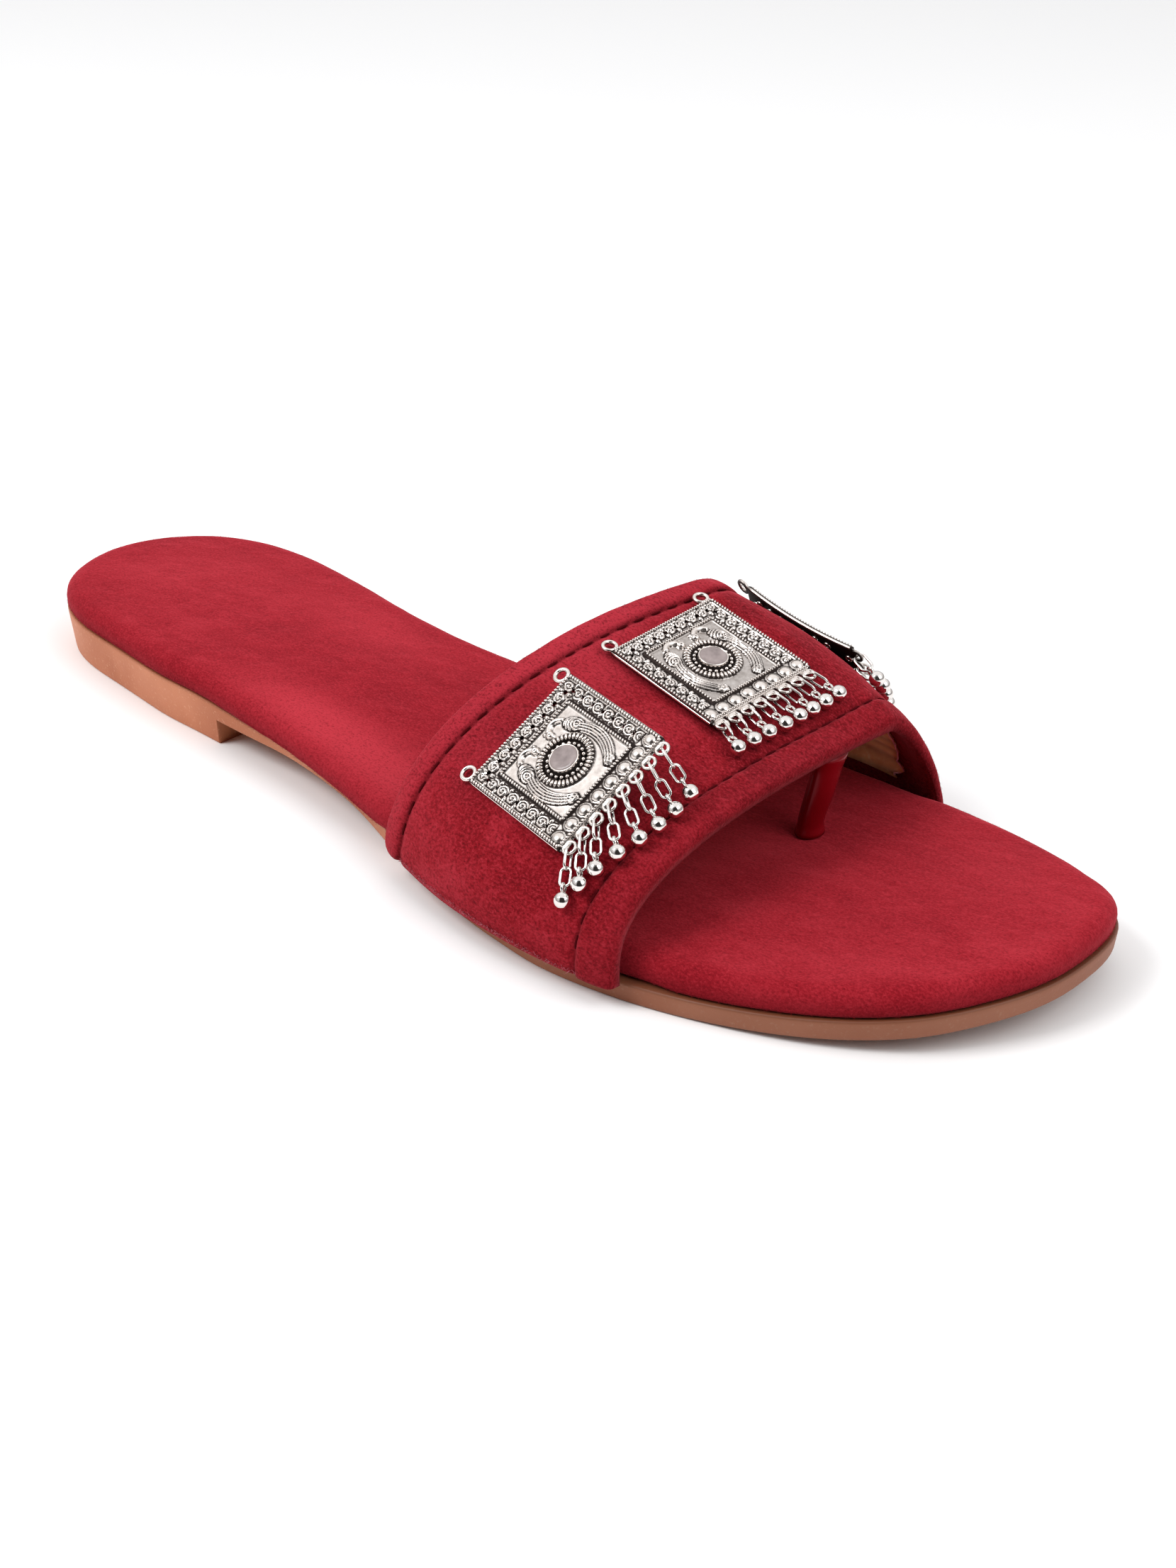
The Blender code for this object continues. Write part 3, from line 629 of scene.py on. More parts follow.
@dataclass(frozen=True)
class GlossFinish:
    """A smooth glossy skin with a slight cloudiness, such as the post or the flat stones."""

    name: str
    dark: Colour
    light: Colour
    roughness: tuple[float, float]
    coat: float
    cloud_scale: float
    tint: Colour = (1.0, 1.0, 1.0)

    def make(self, _groups: Groups) -> Material:
        """Return the material, which needs no shared group."""
        made, pen, shader = new_material(self.name)
        clouds = pen.noise(pen.place(), self.cloud_scale, 3.0, 0.5)
        pen.fill(shader, {
            "Base Color": pen.blend(pen.spread(clouds, 0.3, 0.7), self.dark, self.light),
            "Roughness": pen.spread(clouds, 0.3, 0.7, *self.roughness),
            "Normal": pen.bump(0.1, 0.00005, clouds), "Specular IOR Level": 0.35, "Specular Tint": self.tint,
            "Coat Weight": self.coat, "Coat Roughness": 0.06})
        return made


class Finish(Enum):
    """The finishes of the sandal."""

    FOOTBED_VELVET = VelvetFinish(
        "footbed_velvet", (0.10, 0.003, 0.006), (0.29, 0.010, 0.018), (0.49, 0.034, 0.05),
        (0.64, 0.06, 0.085), 0.6, 0.5, 38.0, 2600.0, patches=0.4)
    STRAP_VELVET = VelvetFinish(
        "strap_velvet", (0.05, 0.0015, 0.003), (0.26, 0.008, 0.014), (0.46, 0.032, 0.05), (0.64, 0.07, 0.095),
        0.55, 0.62, 55.0, 2300.0, 0.00034, patches=0.55)
    THREAD = VelvetFinish(
        "dark_red_thread", (0.03, 0.001, 0.002), (0.07, 0.002, 0.004), (0.14, 0.006, 0.01),
        (0.16, 0.01, 0.015), 0.3, 0.3, 400.0, 6000.0, 0.00008, 0.05)
    FRAYED = VelvetFinish(
        "frayed_thread", (0.28, 0.03, 0.05), (0.52, 0.13, 0.17), (0.80, 0.42, 0.45), (0.80, 0.36, 0.40),
        0.4, 0.5, 400.0, 6000.0, 0.00008, 0.1)
    SOLE = GrainFinish(
        "tan_moulded_sole", (0.43, 0.125, 0.048), (0.60, 0.21, 0.095), (0.75, 0.43, 0.27), tread=0.0022)
    LINING = GrainFinish(
        "gold_tan_lining", (0.72, 0.33, 0.12), (0.98, 0.60, 0.26), (1.0, 0.80, 0.46), 0.4, 130.0, 1100.0,
        0.00012, 0.25)
    POST = GlossFinish(
        "glossy_red_post", (0.15, 0.001, 0.004), (0.21, 0.002, 0.006), (0.2, 0.26), 0.0, 90.0,
        (1.0, 0.3, 0.34))
    STONE = GlossFinish(
        "grey_flat_stone", (0.21, 0.165, 0.16), (0.37, 0.30, 0.29), (0.28, 0.42), 0.35, 500.0)
    CAST = MetalFinish("cast_silver", (0.86, 0.80, 0.76), (0.76, 0.68, 0.63), (0.03, 0.022, 0.02), 1.0)
    BRIGHT = MetalFinish(
        "bright_silver", (0.84, 0.80, 0.77), (0.76, 0.71, 0.68), (0.09, 0.07, 0.065), 0.9, 0.000004, 0.6)


# Geometry Nodes recipes

class Recipe:
    """A Geometry Nodes tree with named inputs, used on a mesh and turned into plain faces."""

    def __init__(self, name: str, inputs: Sequence[tuple[str, str, object]],
                 draw: Callable[[Pen, dict], Socket]) -> None:
        """Build the tree, which ends in Realize Instances and Set Material.

        Args:
            name: The tree's name.
            inputs: The name, socket type and default value of each input.
            draw: Draws the tree; it is given a pen and the inputs, and returns the shape.
        """
        self.tree = bpy.data.node_groups.new(name, "GeometryNodeTree")
        self.tree.interface.new_socket("Geometry", in_out="INPUT", socket_type="NodeSocketGeometry")
        for label, kind, value in (*inputs, ("Material", "NodeSocketMaterial", None)):
            socket = self.tree.interface.new_socket(label, in_out="INPUT", socket_type=kind)
            if value is not None:
                socket.default_value = value
        self.tree.interface.new_socket("Geometry", in_out="OUTPUT", socket_type="NodeSocketGeometry")
        self.places = {item.name: item.identifier for item in self.tree.interface.items_tree
                       if item.item_type == "SOCKET" and item.in_out == "INPUT"}
        pen = Pen(self.tree)
        source = pen.add("NodeGroupInput")
        shape = draw(pen, {label: source.outputs[label] for label in self.places})
        whole = pen.add("GeometryNodeRealizeInstances", {0: shape}).outputs[0]
        inputs = {"Geometry": whole, "Material": source.outputs["Material"]}
        pen.add("NodeGroupOutput", {0: pen.add("GeometryNodeSetMaterial", inputs).outputs[0]})

    def run(self, name: str, base: Mesh, finish: Material, **values: object) -> Mesh:
        """Run the tree on a mesh.

        Args:
            name: The name of the mesh that is made.
            base: The mesh to run it on; it is removed.
            finish: The material of the result.
            values: The tree's inputs by name, with _ for a space.

        Returns:
            The plain mesh.
        """
        holder = show(name + "_marks", base)
        modifier = holder.modifiers.new("recipe", "NODES")
        modifier.node_group = self.tree
        for label, value in {**values, "Material": finish}.items():
            modifier[self.places[label.replace("_", " ")]] = value
        graph = bpy.context.evaluated_depsgraph_get()
        graph.update()
        made = bpy.data.meshes.new_from_object(holder.evaluated_get(graph))
        made.name = name
        bpy.data.objects.remove(holder)
        bpy.data.meshes.remove(base)
        if not made.materials:
            made.materials.append(finish)
        return made


def draw_set_on_marks(pen: Pen, given: dict) -> Socket:
    """Draw the tree that sets a motif on each mark, along its "along" and "out" directions.

    Args:
        pen: Draws in the tree.
        given: The tree's inputs by name.

    Returns:
        The shape.
    """
    kind = "GeometryNodeInputNamedAttribute"
    along, out = (pen.add(kind, {"Name": name}, data_type="FLOAT_VECTOR").outputs[0]
                  for name in ("along", "out"))
    turn = pen.add("FunctionNodeAxesToRotation", {0: out, 1: along}, primary_axis="Z", secondary_axis="X")
    low = pen.math("SUBTRACT", 1.0, given["Spread"])
    high = pen.math("ADD", 1.0, given["Spread"])
    inputs = {2: low, 3: high, "Seed": given["Seed"]}
    chance = pen.add("FunctionNodeRandomValue", inputs, data_type="FLOAT").outputs[1]
    points = pen.add("GeometryNodeMeshToPoints", {0: given["Geometry"]}).outputs[0]
    motif = pen.add("GeometryNodeObjectInfo", {"Object": given["Motif"]}).outputs["Geometry"]
    inputs = {"Points": points, "Instance": motif, "Rotation": turn.outputs[0], "Scale": chance}
    return pen.add("GeometryNodeInstanceOnPoints", inputs).outputs[0]


def draw_bent_wire(pen: Pen, given: dict) -> Socket:
    """Draw the tree that turns a mesh's edges into round wire.

    Args:
        pen: Draws in the tree.
        given: The tree's inputs by name.

    Returns:
        The shape.
    """
    path = pen.add("GeometryNodeMeshToCurve", {0: given["Geometry"]}).outputs[0]
    inputs = {"Resolution": given["Sides"], "Radius": given["Radius"]}
    circle = pen.add("GeometryNodeCurvePrimitiveCircle", inputs).outputs[0]
    wire = pen.add("GeometryNodeCurveToMesh", {"Curve": path, "Profile Curve": circle, "Fill Caps": True})
    return pen.add("GeometryNodeSetShadeSmooth", {0: wire.outputs[0]}).outputs[0]


def draw_pile_fringe(pen: Pen, given: dict) -> Socket:
    """Draw the tree that sets loose fibres over faces, leaning at random from their normals.

    Args:
        pen: Draws in the tree.
        given: The tree's inputs by name.

    Returns:
        The shape.
    """
    seed = given["Seed"]
    inputs = {"Mesh": given["Geometry"], "Density": given["Density"], "Seed": seed}
    spots = pen.add("GeometryNodeDistributePointsOnFaces", inputs)
    inputs = {0: (-1.0, -1.0, -1.0), 1: (1.0, 1.0, 1.0), "Seed": seed}
    lean = pen.add("FunctionNodeRandomValue", inputs, data_type="FLOAT_VECTOR").outputs[0]
    leaning = pen.vector("SCALE", lean, 3, given["Lean"]).outputs[0]
    way = pen.vector("ADD", spots.outputs["Normal"], 1, leaning).outputs[0]
    turn = pen.add("FunctionNodeAlignRotationToVector", {"Vector": way}, axis="Z").outputs[0]
    chance = pen.add("FunctionNodeRandomValue", {2: 0.4, 3: 1.0, "Seed": seed}, data_type="FLOAT").outputs[1]
    length = pen.times(chance, given["Length"])
    size = pen.add("ShaderNodeCombineXYZ", {0: given["Width"], 1: given["Width"], 2: length}).outputs[0]
    inputs = {"Vertices": 3, "Radius Bottom": 1.0, "Radius Top": 0.0, "Depth": 1.0}
    fibre = pen.add("GeometryNodeMeshCone", inputs)
    inputs = {"Points": spots.outputs[0], "Instance": fibre.outputs[0], "Rotation": turn, "Scale": size}
    return pen.add("GeometryNodeInstanceOnPoints", inputs).outputs[0]


class Recipes:
    """The Geometry Nodes trees that the pieces share."""

    def __init__(self) -> None:
        """Build the trees."""
        number, whole = "NodeSocketFloat", "NodeSocketInt"
        self.marks = Recipe("Set on marks", (
            ("Motif", "NodeSocketObject", None), ("Spread", number, 0.0), ("Seed", whole, 1)),
            draw_set_on_marks)
        self.wire = Recipe("Bent wire", (("Radius", number, 0.0003), ("Sides", whole, 8)), draw_bent_wire)
        self.fringe = Recipe("Pile fringe", (
            ("Density", number, 1e6), ("Seed", whole, 1), ("Lean", number, 0.6), ("Length", number, 0.0006),
            ("Width", number, 0.00004)), draw_pile_fringe)

    def set_motifs(self, name: str, motif: Mesh, marks: tuple[Points, Points, Points], finish: Material,
                   spread: float = 0.0, seed: int = 1) -> Mesh:
        """Set one motif on many marks.

        Args:
            name: The name of the mesh that is made.
            motif: The motif's mesh, in metres, with X along and Z out; it is removed.
            marks: The marks' places in metres, and the directions of each mark's X and Z.
            finish: The material.
            spread: How far a motif's size may differ at random.
            seed: The random seed.

        Returns:
            The plain mesh of all the motifs.
        """
        places, alongs, outs = marks
        base = plain_mesh(name + "_base", places)
        for label, rows in (("along", alongs), ("out", outs)):
            layer = base.attributes.new(label, "FLOAT_VECTOR", "POINT")
            layer.data.foreach_set("vector", np.asarray(rows, np.float32).reshape(-1))
        tool = show(name + "_motif", motif)
        tool.hide_render = True
        made = self.marks.run(name, base, finish, Motif=tool, Spread=spread, Seed=seed)
        bpy.data.objects.remove(tool)
        bpy.data.meshes.remove(motif)
        made.shade_smooth()
        return made


def round_motif(name: str, size: Row, segments: int = 8, rings: int = 5, turn: float = 0.0) -> Mesh:
    """Return a small ball or oval.

    Args:
        name: The mesh's name.
        size: Its half lengths along X, Y and Z, in millimetres.
        segments: Its faces round Z.
        rings: Its faces from pole to pole.
        turn: The angle in degrees that it is turned about Z.

    Returns:
        The mesh, in metres.
    """
    work = bmesh.new()
    bmesh.ops.create_uvsphere(work, u_segments=segments, v_segments=rings, radius=1.0)
    bmesh.ops.scale(work, vec=Vector(size) * MM, verts=work.verts)
    bmesh.ops.rotate(work, matrix=Matrix.Rotation(math.radians(turn), 3, "Z"), verts=work.verts)
    mesh = bpy.data.meshes.new(name)
    work.to_mesh(mesh)
    work.free()
    return mesh


class Workshop:
    """The finishes and the Geometry Nodes recipes, each made once."""

    def __init__(self) -> None:
        """Make them."""
        groups = Groups()
        self.recipes = Recipes()
        self.finishes = {finish: finish.value.make(groups) for finish in Finish}

    def __getitem__(self, finish: Finish) -> Material:
        """Return the material of a finish."""
        return self.finishes[finish]


# The shape of the foot, the sole and the strap, as the solids have it

@dataclass
class FootForm:
    """The sandal's plan and heights; they are the part's own sizes, in millimetres."""

    origin: tuple[float, float] = (125.25, -0.5)
    length: float = 250.0
    heel_end: float = 51.6
    toe_start: float = 178.0
    heel_powers: tuple[float, float] = (3.52, 1.91)
    toe_powers: tuple[float, float] = (1.9, 2.5)
    spine: tuple[float, float] = (33.0, 192.0)
    widths: tuple[Row, ...] = ((51.6, 28.6), (75, 27.35), (90, 27.65), (105, 29.05), (120, 31.5),
                               (135, 34.75), (150, 38.15), (165, 41.15), (178, 42.65))
    centres: tuple[Row, ...] = ((0, 1.25), (30, 1.05), (60, -2.15), (90, -4.65), (120, -4.8), (150, -4.15),
                                (180, -3.25), (210, -0.4), (237, 2.5), (250, 6.5))
    heel_height: float = 9.3
    ball_thickness: float = 3.7
    shank: tuple[float, float] = (60.0, 165.0)
    toe_spring: float = 5.2
    spring_start: float = 195.0
    breast_foot: float = 73.5
    breast_top: float = 76.0
    arch: tuple[Row, ...] = ((76, 5.5), (95, 5.1), (112, 3.6), (130, 1.5), (148, 0.15), (154, 0.0))
    insets: tuple[Row, ...] = ((0, 0.3), (70, 0.4), (92, 1.8), (115, 2.8), (132, 1.6), (155, 0.0),
                               (200, -0.3), (250, -0.2))
    gap: float = 0.3

    def place(self, points: Points) -> Points:
        """Return points given as station, across and height in millimetres as row-frame metres."""
        points = np.asarray(points, float)
        return (points - np.array([self.origin[0], self.origin[1], 0.0])) * MM

    def half_width(self, station: Points) -> Points:
        """Return half the plan's width at some stations."""
        station = np.asarray(station, float)
        heel = np.clip(1 - station / self.heel_end, 0, 1) ** self.heel_powers[0]
        toe = np.clip((station - self.toe_start) / (self.length - self.toe_start), 0, 1) ** self.toe_powers[0]
        middle = smooth_table(self.widths, 1, station)
        return middle * (1 - heel) ** (1 / self.heel_powers[1]) * (1 - toe) ** (1 / self.toe_powers[1])

    def centre(self, station: Points) -> Points:
        """Return the middle of the plan at some stations."""
        return smooth_table(self.centres, 1, station)

    def toe_lift(self, station: Points) -> Points:
        """Return how far the toe spring lifts the sole."""
        beyond = np.clip(np.asarray(station, float) - self.spring_start, 0, None)
        share = beyond / (self.length - self.spring_start)
        return self.toe_spring * share * share

    def sole_top(self, station: Points) -> Points:
        """Return the height of the outsole's top."""
        drop = (self.heel_height - self.ball_thickness) * ease(station, *self.shank)
        return self.heel_height - drop + self.toe_lift(station)

    def underside(self, station: Points) -> Points:
        """Return the height of the outsole's underside."""
        station = np.asarray(station, float)
        arch = smooth_table(self.arch, 1, station) + self.toe_lift(station)
        return np.where(station <= self.breast_foot, 0.0, arch)

    def stations(self) -> Points:
        """Return the stations of the fine plan, close together at its round ends."""
        heel = 40.0 * (1 - np.cos(np.pi / 2 * np.linspace(0, 1, 27)))
        toe = self.length - 50.0 * (1 - np.cos(np.pi / 2 * np.linspace(1, 0, 31)))
        middle = np.linspace(42.0, 198.0, 79)
        extra = np.array([self.breast_foot - 0.6, self.breast_foot, self.breast_top])
        return np.unique(np.round(np.concatenate([heel, middle, extra, toe]), 4))

    def ring(self, inset: float | Callable[[Points], Points], share: float = 1.0) -> Points:
        """Return a loop of (station, across) points about the plan.

        Args:
            inset: How far it is moved in, a length or a function of the station.
            share: The share of the way from the spine to that loop.

        Returns:
            The loop, along the outer side to the toe and back along the inner side.
        """
        stations = self.stations()
        station = np.r_[stations, stations[-2:0:-1]]
        side = np.r_[-np.ones(len(stations)), np.ones(len(stations) - 2)]
        edge = np.stack([station, self.centre(station) + side * self.half_width(station)], axis=1)
        hub_station = np.clip(station, *self.spine)
        hub = np.stack([hub_station, self.centre(hub_station)], axis=1)
        depth = inset(station) if callable(inset) else np.full(len(station), float(inset))
        reach = np.linalg.norm(edge - hub, axis=1)
        return hub + (edge - hub) * (1 - depth / reach)[:, None] * share


class Loft:
    """Loops of points about the plan, each with its shade, which make one closed skin."""

    def __init__(self, foot: FootForm) -> None:
        """Start with no loops."""
        self.foot = foot
        self.rows: list[Points] = []
        self.shades: list[Points] = []

    def add(self, inset: Callable[[Points], Points], share: float,
            height: Callable[[Points, Points], Points], shade: float) -> None:
        """Add a loop.

        Args:
            inset: Returns how far it is moved in from the plan, by the station.
            share: The share of the way from the spine to that loop.
            height: Returns the height of its points, by station and across.
            shade: How dark it is.
        """
        ring = self.foot.ring(inset, share)
        self.rows.append(np.column_stack([ring, height(ring[:, 0], ring[:, 1])]))
        self.shades.append(np.full(len(ring), shade))

    def mesh(self, name: str) -> tuple[Mesh, Points]:
        """Return the skin, in metres, and its points in millimetres."""
        points = np.concatenate(self.rows)
        faces = grid_faces(len(self.rows), len(self.rows[0]), True)
        return plain_mesh(name, self.foot.place(points), faces), points


@dataclass
class StrapForm:
    """The strap's outer surface, u across the foot and v from its back to its front edge, in millimetres."""

    foot: FootForm
    back: Row = (134.3, 146.2, 5.2, 36.7, 2.2, 3.2, 23.5, -41.0, 36.9)
    front: Row = (194.2, 198.8, -1.6, 22.9, 2.8, 1.5, 26.0, -47.2, 42.2)
    wall: float = 2.4
    band: float = 58.0
    corner_cut: float = 3.6
    arch_length: float = 118.0
    puffs: tuple[Row, ...] = ((0.0, 3.8), (0.2, 2.6), (0.45, 0.3), (0.6, 0.3), (0.78, 4.0), (0.9, 4.0),
                              (1.0, 2.4))
    edges: tuple = field(init=False)

    def __post_init__(self) -> None:
        """Work out the two edge curves."""
        self.edges = (self.edge_curve(self.back), self.edge_curve(self.front))

    def edge_curve(self, row: Row, samples: int = 400) -> Points:
        """Return an edge as points at even steps, from the lateral to the medial foot.

        Args:
            row: The edge's feet, bow, rise, fullness on both sides, peak and the feet's places across.
            samples: The number of steps.

        Returns:
            The points.
        """
        lateral, medial, bow, rise_height, full_out, full_in, peak, foot_out, foot_in = row
        turn = np.pi * np.arange(samples + 1) / samples
        outer = turn <= np.pi / 2
        fullness = np.where(outer, full_out, full_in)
        foot = np.where(outer, foot_out, foot_in)
        across = peak + (foot - peak) * np.abs(np.cos(turn)) ** (2 / fullness)
        rise = np.abs(np.sin(turn)) ** (2 / fullness)
        share = (across - foot_out) / (foot_in - foot_out)
        station = lateral + (medial - lateral) * share + bow * rise
        height = self.foot.sole_top(station) + self.foot.gap + rise_height * rise
        raw = np.column_stack([station, across, height])
        run = np.r_[0.0, np.cumsum(np.linalg.norm(np.diff(raw, axis=0), axis=1))]
        even = np.linspace(0.0, run[-1], samples + 1)
        return np.stack([np.interp(even, run, raw[:, k]) for k in range(3)], axis=1)

    def ruled(self, u: Points, v: Points) -> Points:
        """Return the straight-line surface between the two edges."""
        back, front = self.edges
        reach = (len(back) - 1) * np.clip(u, 0.0, 1.0)
        i = np.minimum(reach.astype(int), len(back) - 2)
        t = (reach - i)[..., None]
        low = back[i] * (1 - t) + back[i + 1] * t
        high = front[i] * (1 - t) + front[i + 1] * t
        return low * (1 - v[..., None]) + high * v[..., None]

    def outward(self, u: Points, v: Points) -> Points:
        """Return the straight-line surface's outward direction."""
        step = 0.012
        along = self.ruled(np.minimum(u + step, 1.0), v) - self.ruled(np.maximum(u - step, 0.0), v)
        toeward = self.ruled(u, np.ones_like(v)) - self.ruled(u, np.zeros_like(v))
        way = np.cross(toeward, along)
        return way / np.linalg.norm(way, axis=-1, keepdims=True)

    def point(self, u: Points, v: Points, offset: Points | float = 0.0) -> Points:
        """Return points of the surface.

        Args:
            u: How far across the foot they lie, from 0 to 1.
            v: How far towards the front edge they lie, from 0 to 1.
            offset: How far they are moved out along the normal.

        Returns:
            The points, in millimetres.
        """
        u, v = np.broadcast_arrays(np.asarray(u, float), np.asarray(v, float))
        corner = np.clip(self.corner_cut - v * self.band, 0.0, None)
        cut = (self.corner_cut - np.sqrt(self.corner_cut ** 2 - corner ** 2)) / self.arch_length
        inner = cut + (1 - 2 * cut) * u
        way = self.outward(inner, v)
        belly = smooth_table(self.puffs, 1, inner) * 4 * v * (1 - v)
        made = self.ruled(inner, v) + way * (belly + offset)[..., None]
        floor = self.foot.sole_top(made[..., 0]) + self.foot.gap + cut * self.arch_length
        low = (u <= 0.0) | (u >= 1.0) | (made[..., 2] < floor)
        made[..., 2] = np.where(low, floor, made[..., 2])
        return made

    def frame_at(self, u: Points, v: float, offset: Points | float) -> tuple[Points, Points, Points]:
        """Return places on a line of constant v, with the way along it and the way out.

        Args:
            u: How far across the foot the places lie.
            v: Where the line lies.
            offset: How far it is moved out along the normal.

        Returns:
            The places, the ways along and the ways out.
        """
        vs = np.full_like(u, v)
        here = self.point(u, vs, offset)
        ahead = self.point(np.minimum(u + 0.002, 1.0), vs, offset)
        behind = self.point(np.maximum(u - 0.002, 0.0), vs, offset)
        beside = self.point(u, vs + 0.01, offset)
        along = ahead - behind
        out = np.cross(beside - here, along)
        along /= np.linalg.norm(along, axis=1, keepdims=True)
        out /= np.linalg.norm(out, axis=1, keepdims=True)
        return here, along, out


# Pieces

@dataclass
class Footbed:
    """The padded insole board in its velvet wrap."""

    foot: FootForm
    shop: Workshop
    height: float = 5.5
    crown: float = 0.5
    side: float = 2.2
    roll: float = 4.2
    inset: float = 0.4
    tuck: float = 1.0
    tuck_zone: tuple[float, float, float, float] = (127.0, 136.0, 195.0, 204.0)
    fill: float = 0.8

    def edge(self, station: Points) -> Points:
        """Return how far the side is set in from the plan."""
        start, full, fade, end = self.tuck_zone
        return self.inset + self.tuck * ease(station, start, full) * (1 - ease(station, fade, end))

    def mesh(self) -> Mesh:
        """Return the pad, rolled over at its edge, with the small unevenness of glued velvet."""
        foot, loft, gap = self.foot, Loft(self.foot), self.foot.gap
        count = len(foot.ring(0.0))
        turn = np.arange(count) / count
        ragged = 0.10 * wobble(turn * 40, 3) + 0.06 * wobble(turn * 160, 4)
        soft = 0.12 * wobble(turn * 9, 5) + 0.05 * wobble(turn * 50, 8)
        rise = self.height - self.crown - self.side
        # Each row holds how far in a loop lies, its height, its share, its shade and its bulge
        rows = [(1.4, gap + 0.02, share, 1.0, 0.0) for share in (0.0, 0.5, 0.9)]
        rows += [(0.9, gap + 0.02, 1.0, 0.9, 0.0), (0.25, gap + 0.12 + 0.5 * ragged, 1.0, 0.75, 0.0),
                 (0.0, gap + 0.55 + ragged, 1.0, 0.6, 0.0), (0.0, 0.95, 1.0, 0.5, soft * 0.6),
                 (0.0, 1.5, 1.0, 0.38, soft * 0.6)]
        for step in range(11):
            angle = math.radians(9.0 * step)
            left = 1 - math.sin(angle)
            high = self.side + rise * math.sin(angle) + 0.4 * soft
            rows.append((self.roll * (1 - math.cos(angle)), high, 1.0, 0.3 * left ** 1.5, soft * left))
        for inward, high, share, shade, bulge in rows:
            loft.add(lambda s: self.edge(s) + inward - bulge, share,
                     lambda s, _: foot.sole_top(s) + high, shade)
        for share in (0.93, 0.85, 0.75, 0.62, 0.5, 0.36, 0.22, 0.1, 0.0):
            dish = self.height - self.crown * share * share
            loft.add(lambda s: self.edge(s) + self.roll, share,
                     lambda s, a: foot.sole_top(s) + dish + self.pillow(s, a) * (1 - share), 0.0)
        mesh, every = loft.mesh("footbed_pad")
        # Painted shadow on the forefoot round the post, under the strap
        under_strap_shade = 0.2 * np.exp(-((every[:, 0] - 206) / 30) ** 2 - ((every[:, 1] + 2) / 34) ** 2)
        paint(mesh, "shade", np.clip(np.concatenate(loft.shades) + under_strap_shade, 0.0, 1.0))
        # Painted sheen on the pad
        paint(mesh, "glow", self.streaks(every))
        return tidy_mesh(mesh)

    def pillow(self, station: Points, across: Points) -> Points:
        """Return the low swells of the padding."""
        return 0.06 * np.sin(station / 17.0) * np.sin(across / 13.0 + 0.6)

    def streaks(self, points: Points) -> Points:
        """Return the painted sheen of the pile: on the outer shoulder, at the waist and on the toe's far
        side.

        Args:
            points: The pad's points, in millimetres.

        Returns:
            The shine at each, from 0 to 1.
        """
        station, across = points[:, 0], points[:, 1] - self.foot.centre(points[:, 0])
        share = across / np.maximum(self.foot.half_width(station), 4.0)
        shoulder = np.exp(-((share + 0.72) / 0.24) ** 2) * ease(station, 62, 100)
        shoulder *= 1 - ease(station, 125, 160)
        heel = 0.4 * np.exp(-((share - 0.25) / 0.3) ** 2 - ((station - 34) / 16) ** 2)
        waist = 0.85 * np.exp(-((share - 0.5) / 0.3) ** 2 - ((station - 78) / 20) ** 2)
        toe = 0.5 * np.exp(-((share - 0.55) / 0.35) ** 2 - ((station - 228) / 17) ** 2)
        return np.clip(shoulder + 0.6 * (heel + waist + toe), 0.0, 0.9)

    def build(self) -> None:
        """Make the footbed and the loose pile along its edge."""
        velvet = self.shop[Finish.FOOTBED_VELVET]
        pad = wear("footbed_pad", self.mesh(), velvet, "footbed")
        wear("footbed_nap", self.fringe(velvet), velvet)

    def fringe(self, velvet: Material) -> Mesh:
        """Return the loose pile where the wrap meets the sole and over its shoulder."""
        foot = self.foot
        strips = []
        for lines in (((0.45, 0.02), (1.5, 0.0)), ((3.6, 1.05), (4.6, 2.2))):
            rows = []
            for height, inward in lines:
                ring = foot.ring(lambda s: self.edge(s) + inward)
                rows.append(foot.place(np.column_stack([ring, foot.sole_top(ring[:, 0]) + height])))
            strips.append(strip_mesh(rows, True))
        made = self.shop.recipes.fringe.run("footbed_nap", merged("nap_base", strips), velvet, Density=7.0e6,
                                            Seed=11, Lean=0.8, Length=0.00055, Width=0.00003)
        paint(made, "shade", 0.2)
        return made


